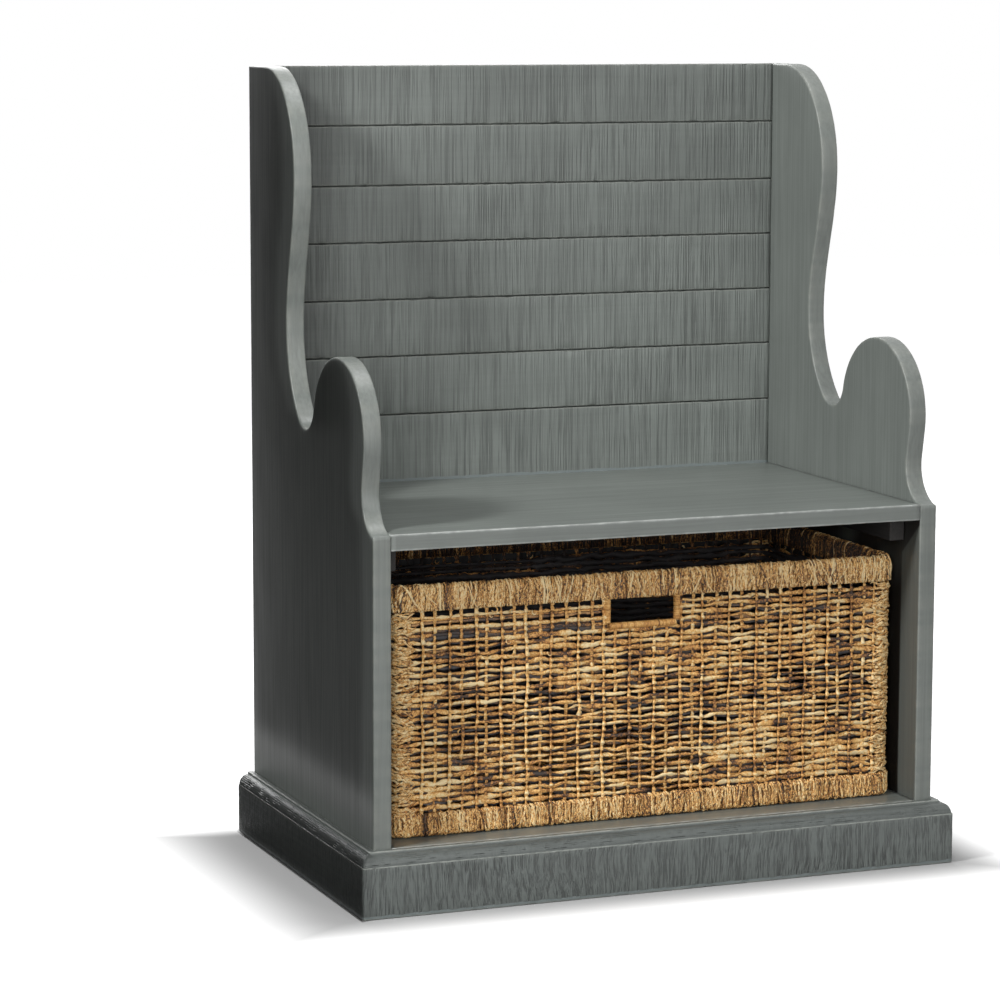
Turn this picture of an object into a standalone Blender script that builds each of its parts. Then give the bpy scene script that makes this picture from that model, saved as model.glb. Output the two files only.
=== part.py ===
"""Hall bench with scrolled sides, a planked back, a moulded plinth and a woven basket under the seat.

Everything is in metres. X runs along the bench, -Y is the front, +Z is up. The origin is on the floor
in the middle of the bench's width and depth. Pieces that touch keep FIT_GAP between them.
"""
import math

import bmesh
import bpy
from mathutils import Vector

# Overall size, measured over the plinth
BENCH_WIDTH = 0.7874
BENCH_DEPTH = 0.4826
BENCH_HEIGHT = 0.9906
FIT_GAP = 0.0003

# Plinth boards, planted round the front and the two sides of the case
PLINTH_THICKNESS = 0.0213
PLINTH_HEIGHT = 0.0793
PLINTH_FACE_HEIGHT = 0.0635
PLINTH_FACE_STEP = 0.0012
PLINTH_TOP_LEDGE = 0.0085
PLINTH_QUIRK = 0.0032
PLINTH_CORNER_RADIUS = 0.003
CORNER_EASE_SHARE = 0.6
OVOLO_STEPS = 6

# Side panels: the wing is set out from the back and the top, the arm from the front and the seat
SIDE_THICKNESS = 0.023
WING_CURVE_FROM_BACK = 0.0683
WING_TIP_FROM_BACK = 0.1800
WING_TIP_BELOW_TOP = 0.1336
WAIST_FROM_BACK = 0.1473
WAIST_ABOVE_SEAT = 0.2171
TAIL_RADIUS = 0.155
NOTCH_RADIUS = 0.032
ARM_RADIUS = 0.093
ARM_FROM_FRONT = 0.124
ARM_ABOVE_SEAT = 0.104
COVE_RADIUS = 0.048
COVE_BEFORE_FRONT = 0.0085
COVE_ABOVE_SEAT = 0.045
SIDE_ARRIS = 0.0015
CURVE_STEP = 0.0075
EASE_STEP = 0.0110

# Seat board, its cleats and its ledger
SEAT_TOP = 0.4549
SEAT_THICKNESS = 0.0203
SEAT_ARRIS = 0.0018
SEAT_CLEAT_HEIGHT = 0.030
SEAT_CLEAT_WIDTH = 0.020
SEAT_CLEAT_SETBACK = 0.040

# Back boards, half-lapped, nailed to three upright battens
BOARD_THICKNESS = 0.018
BOARD_WIDTH = 0.0747
BOARD_WIDTH_ODDS = (0.0013, 0.0020, -0.0018, -0.0009, -0.0013, 0.0011)
BOARD_JOINT = 0.0014
BOARD_LAP = 0.008
BOARD_ARRIS = 0.0010
BATTEN_THICKNESS = 0.0135
BATTEN_WIDTH = 0.045
BATTEN_BELOW_TOP = 0.012

# Bottom board of the cubby, and what carries it
BOTTOM_THICKNESS = 0.018
RAIL_THICKNESS = 0.018
FLOOR_CLEAT_HEIGHT = 0.022
FLOOR_CLEAT_WIDTH = 0.018
CORNER_BLOCK_LEG = 0.034
CORNER_BLOCK_HEIGHT = 0.032
CORNER_BLOCK_NOSE = 0.006
PLAIN_ARRIS = 0.0010

# Basket, sized from the cubby by its clearances
BASKET_SIDE_CLEARANCE = 0.0088
BASKET_FRONT_SETBACK = 0.0350
BASKET_BACK_CLEARANCE = 0.0145
BASKET_HEAD_CLEARANCE = 0.0478
BASKET_CORNER_RADIUS = 0.026
BASKET_CORNER_STEPS = 6
WALL_THICKNESS = 0.0070
WALL_INSET = 0.0050
STAKE_COUNT = 40
STAKE_WIDTH = 0.0046
STAKE_PROUD = 0.0025
STAKE_SLOPE = 0.0004
CORNER_POST_REACH = 0.0220
CORNER_POST_STEPS = 8
WEAVE_ROWS = 5
WEAVE_OPENING_HEIGHT = 0.0290
WEAVE_EDGE = 0.0050
WEAVE_LEAST_OPENING = 0.0150
RIM_HEIGHT = 0.0335
RIM_CROWN = 0.0090
RIM_STEPS = 6
ROD_RADIUS = 0.0030
ROD_SIDES = 8
BAND_HEIGHT = 0.0300
BAND_ROUND = 0.0035
BASKET_FLOOR_THICKNESS = 0.0080
BASKET_FLOOR_LIFT = 0.0030
SLOT_WIDTH = 0.0860
SLOT_HEIGHT = 0.0300
SLOT_OFF_CENTRE = -0.0084
SLOT_BINDING = 0.0040
SLOT_BINDING_PROUD = 0.0010

# Finishes: linear colour, roughness, metallic
GREY_PAINT = ((0.155, 0.170, 0.158), 0.50, 0.0)
SAWN_PAINT = ((0.148, 0.165, 0.155), 0.62, 0.0)
BARE_PINE = ((0.420, 0.270, 0.140), 0.75, 0.0)
WOVEN_FIBRE = ((0.400, 0.240, 0.105), 0.80, 0.0)
WRAPPED_FIBRE = ((0.460, 0.280, 0.120), 0.78, 0.0)
RATTAN_ROD = ((0.350, 0.200, 0.090), 0.70, 0.0)

# Planes and heights that several pieces share
BACK_Y = BENCH_DEPTH / 2
FRONT_Y = -BENCH_DEPTH / 2 + PLINTH_THICKNESS
CASE_HALF = BENCH_WIDTH / 2 - PLINTH_THICKNESS
INNER_HALF = CASE_HALF - SIDE_THICKNESS
BATTEN_FRONT_Y = BACK_Y - BATTEN_THICKNESS
BOARD_BACK_Y = BATTEN_FRONT_Y - FIT_GAP
BOARD_FRONT_Y = BOARD_BACK_Y - BOARD_THICKNESS
SEAT_UNDERSIDE = SEAT_TOP - SEAT_THICKNESS
BOTTOM_TOP = PLINTH_HEIGHT
BOTTOM_UNDERSIDE = BOTTOM_TOP - BOTTOM_THICKNESS

# The basket's outer box and the levels inside it
BASKET_HALF = INNER_HALF - BASKET_SIDE_CLEARANCE
BASKET_FRONT_Y = FRONT_Y + BASKET_FRONT_SETBACK
BASKET_REAR_Y = BOARD_FRONT_Y - BASKET_BACK_CLEARANCE
BASKET_BASE = BOTTOM_TOP + FIT_GAP
BASKET_TOP = SEAT_UNDERSIDE - BASKET_HEAD_CLEARANCE
RIM_BASE = BASKET_TOP - RIM_HEIGHT
RIM_WIDTH = 2 * WALL_INSET + WALL_THICKNESS
ROD_TOP = BASKET_TOP - RIM_CROWN - FIT_GAP
WALL_TOP = ROD_TOP - 2 * ROD_RADIUS - FIT_GAP
WALL_BASE = BASKET_BASE + BAND_HEIGHT + FIT_GAP


def clear_scene():
    """Removes whatever the scene holds, so that only the bench is left."""
    for old in list(bpy.data.objects):
        bpy.data.objects.remove(old, do_unlink=True)


def finish_of(name, finish):
    """A material of its own for one piece."""
    colour, roughness, metallic = finish
    material = bpy.data.materials.new(name)
    material.use_nodes = True
    shader = material.node_tree.nodes["Principled BSDF"]
    shader.inputs["Base Color"].default_value = (*colour, 1.0)
    shader.inputs["Roughness"].default_value = roughness
    shader.inputs["Metallic"].default_value = metallic
    return material


def add_object(name, mesh_data, finish, parent=None):
    """Links a finished bmesh as a named object with its material."""
    bmesh.ops.recalc_face_normals(mesh_data, faces=mesh_data.faces)
    mesh = bpy.data.meshes.new(name)
    mesh_data.to_mesh(mesh)
    mesh_data.free()
    mesh.materials.append(finish_of(name, finish))
    piece = bpy.data.objects.new(name, mesh)
    bpy.context.scene.collection.objects.link(piece)
    piece.parent = parent
    return piece


def soften(piece, width, segments=1):
    """Takes the sharp arris off a piece where two faces meet squarely."""
    bevel = piece.modifiers.new("arris", "BEVEL")
    bevel.width = width
    bevel.segments = segments
    bevel.limit_method = "ANGLE"
    bevel.angle_limit = math.radians(50)
    return piece


def box_board(name, low, high, finish, arris=PLAIN_ARRIS, segments=1):
    """A sawn board between two corners."""
    mesh_data = bmesh.new()
    bmesh.ops.create_cube(mesh_data, size=1.0)
    low = Vector(low)
    high = Vector(high)
    for corner in mesh_data.verts:
        corner.co = Vector(
            (low.x + (corner.co.x + 0.5) * (high.x - low.x),
             low.y + (corner.co.y + 0.5) * (high.y - low.y),
             low.z + (corner.co.z + 0.5) * (high.z - low.z)))
    return soften(add_object(name, mesh_data, finish), arris, segments)


def prism(name, outlines, finish, parent=None):
    """A solid between two like outlines, each a list of points going round the same way."""
    mesh_data = bmesh.new()
    rings = [[mesh_data.verts.new(point) for point in outline] for outline in outlines]
    first, last = rings
    mesh_data.faces.new(first)
    mesh_data.faces.new(reversed(last))
    for i in range(len(first)):
        j = (i + 1) % len(first)
        mesh_data.faces.new((first[i], first[j], last[j], last[i]))
    return add_object(name, mesh_data, finish, parent)


def arc(centre, radius, start, end):
    """Points on a circle from one angle to another, close enough together to look round."""
    steps = max(4, math.ceil(abs(end - start) * radius / CURVE_STEP))
    points = []
    for i in range(steps + 1):
        angle = start + (end - start) * i / steps
        points.append((centre[0] + radius * math.cos(angle), centre[1] + radius * math.sin(angle)))
    return points


def angle_to(centre, point):
    """The direction of a point seen from a centre."""
    return math.atan2(point[1] - centre[1], point[0] - centre[0])


def circle_touching(tail_centre, arm_centre):
    """Centre of the notch's circle, which lies inside the tail's circle and outside the arm's."""
    from_tail = TAIL_RADIUS - NOTCH_RADIUS
    from_arm = ARM_RADIUS + NOTCH_RADIUS
    dy = tail_centre[0] - arm_centre[0]
    dz = tail_centre[1] - arm_centre[1]
    apart = math.hypot(dy, dz)
    along = (from_arm ** 2 - from_tail ** 2 + apart ** 2) / (2 * apart)
    across = math.sqrt(from_arm ** 2 - along ** 2)
    return (arm_centre[0] + (along * dy + across * dz) / apart,
            arm_centre[1] + (along * dz - across * dy) / apart)


def wing_curve(tip, waist):
    """The wing's front edge: a quarter ellipse off the top, then an easy double curve in to the waist."""
    reach = WING_TIP_FROM_BACK - WING_CURVE_FROM_BACK
    quarter_steps = math.ceil(math.hypot(reach, WING_TIP_BELOW_TOP) / CURVE_STEP)
    points = []
    for i in range(quarter_steps + 1):
        angle = math.pi / 2 * i / quarter_steps
        points.append((tip[0] + reach * (1 - math.sin(angle)),
                       tip[1] + WING_TIP_BELOW_TOP * math.cos(angle)))
    ease_steps = math.ceil((tip[1] - waist[1]) / EASE_STEP)
    for i in range(1, ease_steps):
        share = i / ease_steps
        ease = (1 - math.cos(math.pi * share)) / 2
        points.append((tip[0] + (waist[0] - tip[0]) * ease, tip[1] + (waist[1] - tip[1]) * share))
    return points


def straight_between(arm_centre, cove_centre):
    """Angle on the arm's circle where a straight run leaves it to meet the cove's circle.

    The run crosses between the circles, so its square direction turns off the line of centres by the
    angle whose cosine is both radii over their distance.
    """
    apart = math.hypot(cove_centre[0] - arm_centre[0], cove_centre[1] - arm_centre[1])
    turn = math.acos(min(1.0, (ARM_RADIUS + COVE_RADIUS) / apart))
    return angle_to(arm_centre, cove_centre) - turn


def side_outline():
    """The side panel's outline in Y and Z, from the top of the back edge round by the front."""
    tip = (BACK_Y - WING_TIP_FROM_BACK, BENCH_HEIGHT - WING_TIP_BELOW_TOP)
    waist = (BACK_Y - WAIST_FROM_BACK, SEAT_TOP + WAIST_ABOVE_SEAT)
    arm_centre = (FRONT_Y + ARM_FROM_FRONT, SEAT_TOP + ARM_ABOVE_SEAT)
    cove_centre = (FRONT_Y - COVE_BEFORE_FRONT, SEAT_TOP + COVE_ABOVE_SEAT)
    tail_centre = (waist[0] - TAIL_RADIUS, waist[1])
    notch_centre = circle_touching(tail_centre, arm_centre)

    points = [(BACK_Y, BENCH_HEIGHT)]
    points += wing_curve(tip, waist)
    tail_end = angle_to(tail_centre, notch_centre)
    points += arc(tail_centre, TAIL_RADIUS, 0.0, tail_end)
    notch_end = angle_to(notch_centre, arm_centre)
    if notch_end > 0:
        notch_end -= 2 * math.pi
    points += arc(notch_centre, NOTCH_RADIUS, tail_end, notch_end)[1:]
    arm_start = angle_to(arm_centre, notch_centre)
    arm_end = straight_between(arm_centre, cove_centre) % (2 * math.pi)
    points += arc(arm_centre, ARM_RADIUS, arm_start, arm_end)[1:]
    cove_start = arm_end - math.pi
    cove_end = -math.acos(COVE_BEFORE_FRONT / COVE_RADIUS)
    points += arc(cove_centre, COVE_RADIUS, cove_start, cove_end)
    points += [(FRONT_Y, 0.0), (BACK_Y, 0.0)]
    return points


def build_sides():
    """Both scrolled side panels, standing on the floor behind the plinth boards."""
    outline = side_outline()
    for name, side in (("left_side_panel", -1), ("right_side_panel", 1)):
        inner = side * INNER_HALF
        outer = side * CASE_HALF
        faces = [[(x, y, z) for y, z in outline] for x in (inner, outer)]
        soften(prism(name, faces, GREY_PAINT), SIDE_ARRIS)


def plinth_profile():
    """The moulding as pairs of distance out from the case and height, from the foot upwards.

    A tall face, a hair step, a quarter-ellipse ovolo, a small upright quirk and a flat ledge.
    """
    out = PLINTH_THICKNESS
    brow = out - PLINTH_FACE_STEP
    ovolo_top = PLINTH_HEIGHT - PLINTH_QUIRK
    points = [(FIT_GAP, 0.0), (out, 0.0), (out, PLINTH_FACE_HEIGHT)]
    for i in range(OVOLO_STEPS + 1):
        angle = math.pi / 2 * i / OVOLO_STEPS
        points.append((PLINTH_TOP_LEDGE + (brow - PLINTH_TOP_LEDGE) * math.cos(angle),
                       PLINTH_FACE_HEIGHT + (ovolo_top - PLINTH_FACE_HEIGHT) * math.sin(angle)))
    points += [(PLINTH_TOP_LEDGE, PLINTH_HEIGHT), (FIT_GAP, PLINTH_HEIGHT)]
    return points


def eased_corner(out):
    """How far a mitred end is held back at this distance out, to round the plinth's corner."""
    return max(0.0, out - (PLINTH_THICKNESS - PLINTH_CORNER_RADIUS)) * CORNER_EASE_SHARE


def build_plinth():
    """Front and side plinth boards, mitred where they meet, with half of FIT_GAP on each mitre."""
    mitre_gap = FIT_GAP / math.sqrt(2)
    profile = plinth_profile()
    ends = []
    for side in (-1, 1):
        ends.append([(side * (CASE_HALF + out - mitre_gap - eased_corner(out)), FRONT_Y - out, z)
                     for out, z in profile])
    prism("plinth_front", ends, SAWN_PAINT)
    for name, side in (("plinth_left", -1), ("plinth_right", 1)):
        front = [(side * (CASE_HALF + out), FRONT_Y - out + mitre_gap + eased_corner(out), z)
                 for out, z in profile]
        rear = [(side * (CASE_HALF + out), BACK_Y, z) for out, z in profile]
        prism(name, [front, rear], SAWN_PAINT)


def lapped_board(name, bottom, top, lap_below, lap_above):
    """One back board. Its lower edge laps over the board below at the front, its upper edge behind."""
    middle = BOARD_FRONT_Y + BOARD_THICKNESS / 2
    front_bottom = bottom + (BOARD_JOINT / 2 if lap_below else 0.0)
    back_bottom = front_bottom + (BOARD_LAP if lap_below else 0.0)
    front_top = top - (BOARD_JOINT / 2 if lap_above else 0.0)
    back_top = top + (BOARD_LAP - BOARD_JOINT / 2 if lap_above else 0.0)
    ease = BOARD_ARRIS
    outline = [
        (BOARD_FRONT_Y, front_bottom + ease), (BOARD_FRONT_Y, front_top - ease),
        (BOARD_FRONT_Y + ease, front_top)]
    if lap_above:
        outline += [(middle + FIT_GAP / 2, front_top), (middle + FIT_GAP / 2, back_top)]
    outline += [(BOARD_BACK_Y, back_top), (BOARD_BACK_Y, back_bottom)]
    if lap_below:
        outline += [(middle - FIT_GAP / 2, back_bottom), (middle - FIT_GAP / 2, front_bottom)]
    outline.append((BOARD_FRONT_Y + ease, front_bottom))
    half = INNER_HALF - FIT_GAP
    prism(name, [[(x, y, z) for y, z in outline] for x in (-half, half)], SAWN_PAINT)


def board_edges():
    """Heights of the joints between back boards, from the top down to the bottom board's underside.

    Above the seat's underside the boards keep their own sawn widths and the last takes what is left.
    Below it the same boards share the height evenly.
    """
    edges = [BENCH_HEIGHT]
    upper = max(1, int((BENCH_HEIGHT - SEAT_UNDERSIDE) / BOARD_WIDTH))
    for i in range(upper - 1):
        edges.append(edges[-1] - BOARD_WIDTH - BOARD_WIDTH_ODDS[i % len(BOARD_WIDTH_ODDS)])
    edges.append(SEAT_UNDERSIDE)
    lower = max(1, round((SEAT_UNDERSIDE - BOTTOM_UNDERSIDE) / BOARD_WIDTH))
    for i in range(1, lower + 1):
        edges.append(SEAT_UNDERSIDE - (SEAT_UNDERSIDE - BOTTOM_UNDERSIDE) * i / lower)
    return edges


def build_back():
    """The half-lapped back boards and the three battens behind them."""
    edges = board_edges()
    last = len(edges) - 2
    for i in range(last + 1):
        lapped_board(f"back_board_{i + 1:02d}", edges[i + 1], edges[i], i < last, i > 0)
    batten_top = BENCH_HEIGHT - BATTEN_BELOW_TOP
    side_place = INNER_HALF - FIT_GAP - BATTEN_WIDTH / 2
    for name, x in (("left", -side_place), ("centre", 0.0), ("right", side_place)):
        box_board(f"{name}_back_batten", (x - BATTEN_WIDTH / 2, BATTEN_FRONT_Y, 0.0),
                  (x + BATTEN_WIDTH / 2, BACK_Y, batten_top), BARE_PINE)


def build_seat():
    """The seat board, a cleat under each end and a ledger along its back."""
    half = INNER_HALF - FIT_GAP
    rear = BOARD_FRONT_Y - FIT_GAP
    box_board("seat_board", (-half, FRONT_Y, SEAT_UNDERSIDE), (half, rear, SEAT_TOP),
              GREY_PAINT, SEAT_ARRIS, 2)
    cleat_top = SEAT_UNDERSIDE - FIT_GAP
    cleat_base = cleat_top - SEAT_CLEAT_HEIGHT
    for name, side in (("left_seat_cleat", -1), ("right_seat_cleat", 1)):
        xs = sorted((side * half, side * (half - SEAT_CLEAT_WIDTH)))
        box_board(name, (xs[0], FRONT_Y + SEAT_CLEAT_SETBACK, cleat_base),
                  (xs[1], rear, cleat_top), GREY_PAINT)
    ledger_half = half - SEAT_CLEAT_WIDTH - FIT_GAP
    box_board("rear_seat_ledger", (-ledger_half, rear - SEAT_CLEAT_WIDTH, cleat_base),
              (ledger_half, rear, cleat_top), GREY_PAINT)


def corner_block(name, side, end):
    """A glue block: a right-angled triangle in plan with its two thin noses cut off."""
    x = side * (INNER_HALF - FIT_GAP)
    if end < 0:
        y = FRONT_Y + RAIL_THICKNESS + FIT_GAP
    else:
        y = BOARD_FRONT_Y - FIT_GAP
    leg = CORNER_BLOCK_LEG
    nose = CORNER_BLOCK_NOSE
    plan = [(0, 0), (leg, 0), (leg, nose), (nose, leg), (0, leg)]
    top = BOTTOM_UNDERSIDE - FLOOR_CLEAT_HEIGHT - 2 * FIT_GAP
    base = top - CORNER_BLOCK_HEIGHT
    outlines = [[(x - side * across, y - end * along, z) for across, along in plan]
                for z in (base, top)]
    prism(name, outlines, BARE_PINE)


def build_floor():
    """The cubby's bottom board on its rails and cleats, with a block in each corner."""
    half = INNER_HALF - FIT_GAP
    rear = BOARD_FRONT_Y - FIT_GAP
    box_board("cubby_bottom_board", (-half, FRONT_Y, BOTTOM_UNDERSIDE),
              (half, rear, BOTTOM_TOP), GREY_PAINT)
    rail_top = BOTTOM_UNDERSIDE - FIT_GAP
    box_board("front_floor_rail", (-half, FRONT_Y, 0.0),
              (half, FRONT_Y + RAIL_THICKNESS, rail_top), BARE_PINE)
    box_board("rear_floor_rail", (-half, BOARD_FRONT_Y, 0.0),
              (half, BOARD_FRONT_Y + RAIL_THICKNESS, rail_top), BARE_PINE)
    cleat_front = FRONT_Y + RAIL_THICKNESS + FIT_GAP
    for name, side in (("left_floor_cleat", -1), ("right_floor_cleat", 1)):
        xs = sorted((side * half, side * (half - FLOOR_CLEAT_WIDTH)))
        box_board(name, (xs[0], cleat_front, rail_top - FLOOR_CLEAT_HEIGHT),
                  (xs[1], rear, rail_top), BARE_PINE)
    for name, side, end in (("front_left_corner_block", -1, -1), ("front_right_corner_block", 1, -1),
                            ("rear_left_corner_block", -1, 1), ("rear_right_corner_block", 1, 1)):
        corner_block(name, side, end)


def basket_plan():
    """Points round the basket's outer plan with the direction that faces out of it at each."""
    radius = BASKET_CORNER_RADIUS
    corners = ((BASKET_HALF - radius, BASKET_REAR_Y - radius, 0.0),
               (-BASKET_HALF + radius, BASKET_REAR_Y - radius, 0.5 * math.pi),
               (-BASKET_HALF + radius, BASKET_FRONT_Y + radius, math.pi),
               (BASKET_HALF - radius, BASKET_FRONT_Y + radius, 1.5 * math.pi))
    plan = []
    for x, y, start in corners:
        for i in range(BASKET_CORNER_STEPS + 1):
            angle = start + math.pi / 2 * i / BASKET_CORNER_STEPS
            facing = Vector((math.cos(angle), math.sin(angle), 0.0))
            plan.append((Vector((x, y, 0.0)) + facing * radius, facing))
    return plan


def basket_ring(name, section, finish, parent):
    """Carries a closed section round the basket. A section point is distance inwards and height."""
    mesh_data = bmesh.new()
    plan = basket_plan()
    rings = []
    for place, facing in plan:
        rings.append([mesh_data.verts.new(place - facing * inwards + Vector((0.0, 0.0, z)))
                      for inwards, z in section])
    for i in range(len(rings)):
        this = rings[i]
        after = rings[(i + 1) % len(rings)]
        for j in range(len(section)):
            k = (j + 1) % len(section)
            mesh_data.faces.new((this[j], this[k], after[k], after[j]))
    return add_object(name, mesh_data, finish, parent)


def plan_parts():
    """Lengths of the basket's sides without their corners, and of one corner along the stakes' line."""
    across = 2 * (BASKET_HALF - BASKET_CORNER_RADIUS)
    deep = BASKET_REAR_Y - BASKET_FRONT_Y - 2 * BASKET_CORNER_RADIUS
    bend = (BASKET_CORNER_RADIUS - RIM_WIDTH / 2) * math.pi / 2
    return across, deep, bend


def plan_place(run):
    """The outer plan's point, and the direction out of it, at a run from the middle of the rear wall."""
    across, deep, bend = plan_parts()
    point = Vector((0.0, BASKET_REAR_Y - BASKET_CORNER_RADIUS, 0.0))
    angle = math.pi / 2
    for straight in (across / 2, deep, across, deep, across / 2):
        step = min(run, straight)
        point += Vector((-math.sin(angle), math.cos(angle), 0.0)) * step
        run -= step
        step = min(run, bend)
        angle += math.pi / 2 * step / bend
        run -= step
        if run <= 0.0:
            break
    facing = Vector((math.cos(angle), math.sin(angle), 0.0))
    return point + facing * BASKET_CORNER_RADIUS, facing


def proud_spans():
    """Runs between which the wall stands proud: a post at each corner, and each stake between them."""
    across, deep, bend = plan_parts()
    first = (across + bend) / 2
    posts = [first, first + deep + bend, first + deep + across + 2 * bend,
             first + 2 * deep + across + 3 * bend]
    spans = [(post - CORNER_POST_REACH, post + CORNER_POST_REACH) for post in posts]
    gap = (2 * across + 2 * deep + 4 * bend) / STAKE_COUNT
    for i in range(STAKE_COUNT):
        run = i * gap
        if min(abs(run - post) for post in posts) > CORNER_POST_REACH + STAKE_WIDTH:
            spans.append((run - STAKE_WIDTH / 2, run + STAKE_WIDTH / 2))
    return sorted(spans)


def wall_stations():
    """Stations round the wall: run, distance inwards of the outer face, and whether an opening starts."""
    across, deep, bend = plan_parts()
    length = 2 * across + 2 * deep + 4 * bend
    spans = proud_spans()
    panel = WALL_INSET + STAKE_PROUD
    stations = []
    for i, (start, stop) in enumerate(spans):
        steps = CORNER_POST_STEPS if stop - start > 2 * STAKE_WIDTH else 1
        stations.append((start - STAKE_SLOPE, panel, False))
        stations += [(start + (stop - start) * j / steps, WALL_INSET, False) for j in range(steps + 1)]
        stations.append((stop + STAKE_SLOPE, panel, False))
        following = spans[i + 1][0] if i + 1 < len(spans) else spans[0][0] + length
        low = stop + STAKE_SLOPE + WEAVE_EDGE
        high = following - STAKE_SLOPE - WEAVE_EDGE
        if high - low > WEAVE_LEAST_OPENING:
            stations.append((low, panel, True))
            stations.append((high, panel, False))
    return stations


def opening_levels():
    """Heights at which the wall's openings start and stop, between its foot and its top."""
    pitch = (RIM_BASE - WALL_BASE) / WEAVE_ROWS
    levels = [WALL_BASE]
    for row in range(WEAVE_ROWS):
        middle = WALL_BASE + (row + 0.5) * pitch
        levels += [middle - WEAVE_OPENING_HEIGHT / 2, middle + WEAVE_OPENING_HEIGHT / 2]
    return levels + [WALL_TOP]


def beside_slot(left, right, top):
    """Whether an opening in the front wall would meet the hand slot's binding."""
    reach = SLOT_WIDTH / 2 + SLOT_BINDING + WEAVE_EDGE
    within = min(left.x, right.x) < SLOT_OFF_CENTRE + reach and max(left.x, right.x) > SLOT_OFF_CENTRE - reach
    return within and left.y < 0.0 and top > RIM_BASE - SLOT_HEIGHT - SLOT_BINDING - WEAVE_EDGE


def build_wall(parent):
    """The woven wall: corner posts and stakes stand proud, and a plain grid of openings lies between them."""
    mesh_data = bmesh.new()
    levels = opening_levels()
    columns = []
    starts = []
    beside_opening = False
    for run, outer, opens in wall_stations():
        place, facing = plan_place(run)
        heights = levels if opens or beside_opening else (WALL_BASE, WALL_TOP)
        columns.append([[mesh_data.verts.new(place - facing * inwards + Vector((0.0, 0.0, z))) for z in heights]
                        for inwards in (outer, WALL_INSET + WALL_THICKNESS)])
        starts.append(opens)
        beside_opening = opens
    for i, (this_outer, this_inner) in enumerate(columns):
        next_outer, next_inner = columns[(i + 1) % len(columns)]
        for end in (0, -1):
            mesh_data.faces.new((this_outer[end], next_outer[end], next_inner[end], this_inner[end]))
        if not starts[i]:
            mesh_data.faces.new(this_outer + next_outer[::-1])
            mesh_data.faces.new(this_inner + next_inner[::-1])
            continue
        for k in range(len(levels) - 1):
            outer_cell = (this_outer[k], this_outer[k + 1], next_outer[k + 1], next_outer[k])
            inner_cell = (this_inner[k], this_inner[k + 1], next_inner[k + 1], next_inner[k])
            if k % 2 == 0 or beside_slot(this_outer[0].co, next_outer[0].co, levels[k + 1]):
                mesh_data.faces.new(outer_cell)
                mesh_data.faces.new(inner_cell)
                continue
            for j in range(4):
                m = (j + 1) % 4
                mesh_data.faces.new((outer_cell[j], outer_cell[m], inner_cell[m], inner_cell[j]))
    return add_object("basket_wall", mesh_data, WOVEN_FIBRE, parent)


def rim_section():
    """An upside-down U with a rounded crown, which straddles the rod and the top of the wall."""
    middle = RIM_WIDTH / 2
    cheek = WALL_INSET - FIT_GAP
    shoulder = BASKET_TOP - RIM_CROWN
    points = [(0.0, RIM_BASE)]
    for i in range(RIM_STEPS + 1):
        angle = math.pi * (1 - i / RIM_STEPS)
        points.append((middle + middle * math.cos(angle), shoulder + RIM_CROWN * math.sin(angle)))
    points += [(RIM_WIDTH, RIM_BASE), (RIM_WIDTH - cheek, RIM_BASE),
               (RIM_WIDTH - cheek, shoulder), (cheek, shoulder), (cheek, RIM_BASE)]
    return points


def rod_section():
    """The round rod on top of the wall, inside the rim."""
    middle = RIM_WIDTH / 2
    centre = ROD_TOP - ROD_RADIUS
    turns = [math.tau * i / ROD_SIDES for i in range(ROD_SIDES)]
    return [(middle + ROD_RADIUS * math.cos(turn), centre + ROD_RADIUS * math.sin(turn)) for turn in turns]


def band_section():
    """The wrapped bottom band, its outer corners eased."""
    top = BASKET_BASE + BAND_HEIGHT
    ease = BAND_ROUND
    return [(ease, BASKET_BASE), (0.0, BASKET_BASE + ease), (0.0, top - ease), (ease, top),
            (RIM_WIDTH, top), (RIM_WIDTH, BASKET_BASE)]


def slot_box(name, side_room, low, high, depth_room):
    """A box through the front wall at the hand slot. Its sides stand side_room outside the slot."""
    front = BASKET_FRONT_Y + WALL_INSET - depth_room
    rear = BASKET_FRONT_Y + WALL_INSET + WALL_THICKNESS + depth_room
    half = SLOT_WIDTH / 2 + side_room
    mesh_data = bmesh.new()
    bmesh.ops.create_cube(mesh_data, size=1.0)
    for corner in mesh_data.verts:
        corner.co = Vector((SLOT_OFF_CENTRE + corner.co.x * 2 * half,
                            front + (corner.co.y + 0.5) * (rear - front),
                            low + (corner.co.z + 0.5) * (high - low)))
    return add_object(name, mesh_data, WOVEN_FIBRE)


def cut(piece, cutter):
    """Cuts one piece with another that the build leaves out."""
    cutter.hide_render = True
    cutter.display_type = "WIRE"
    cutter.parent = piece.parent
    boolean = piece.modifiers.new(cutter.name, "BOOLEAN")
    boolean.operation = "DIFFERENCE"
    boolean.solver = "EXACT"
    boolean.object = cutter


def build_slot_binding(parent):
    """The wrapped edge of the hand slot: a U under and beside it, open where the rim closes the top."""
    outer = SLOT_WIDTH / 2 + SLOT_BINDING
    inner = SLOT_WIDTH / 2
    top = RIM_BASE - FIT_GAP
    floor = RIM_BASE - SLOT_HEIGHT
    base = floor - SLOT_BINDING
    outline = [(-outer, base), (outer, base), (outer, top), (inner, top), (inner, floor),
               (-inner, floor), (-inner, top), (-outer, top)]
    front = BASKET_FRONT_Y + WALL_INSET - SLOT_BINDING_PROUD
    rear = BASKET_FRONT_Y + WALL_INSET + WALL_THICKNESS + SLOT_BINDING_PROUD
    prism("basket_slot_binding", [[(SLOT_OFF_CENTRE + x, y, z) for x, z in outline] for y in (front, rear)],
          WRAPPED_FIBRE, parent)


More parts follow.
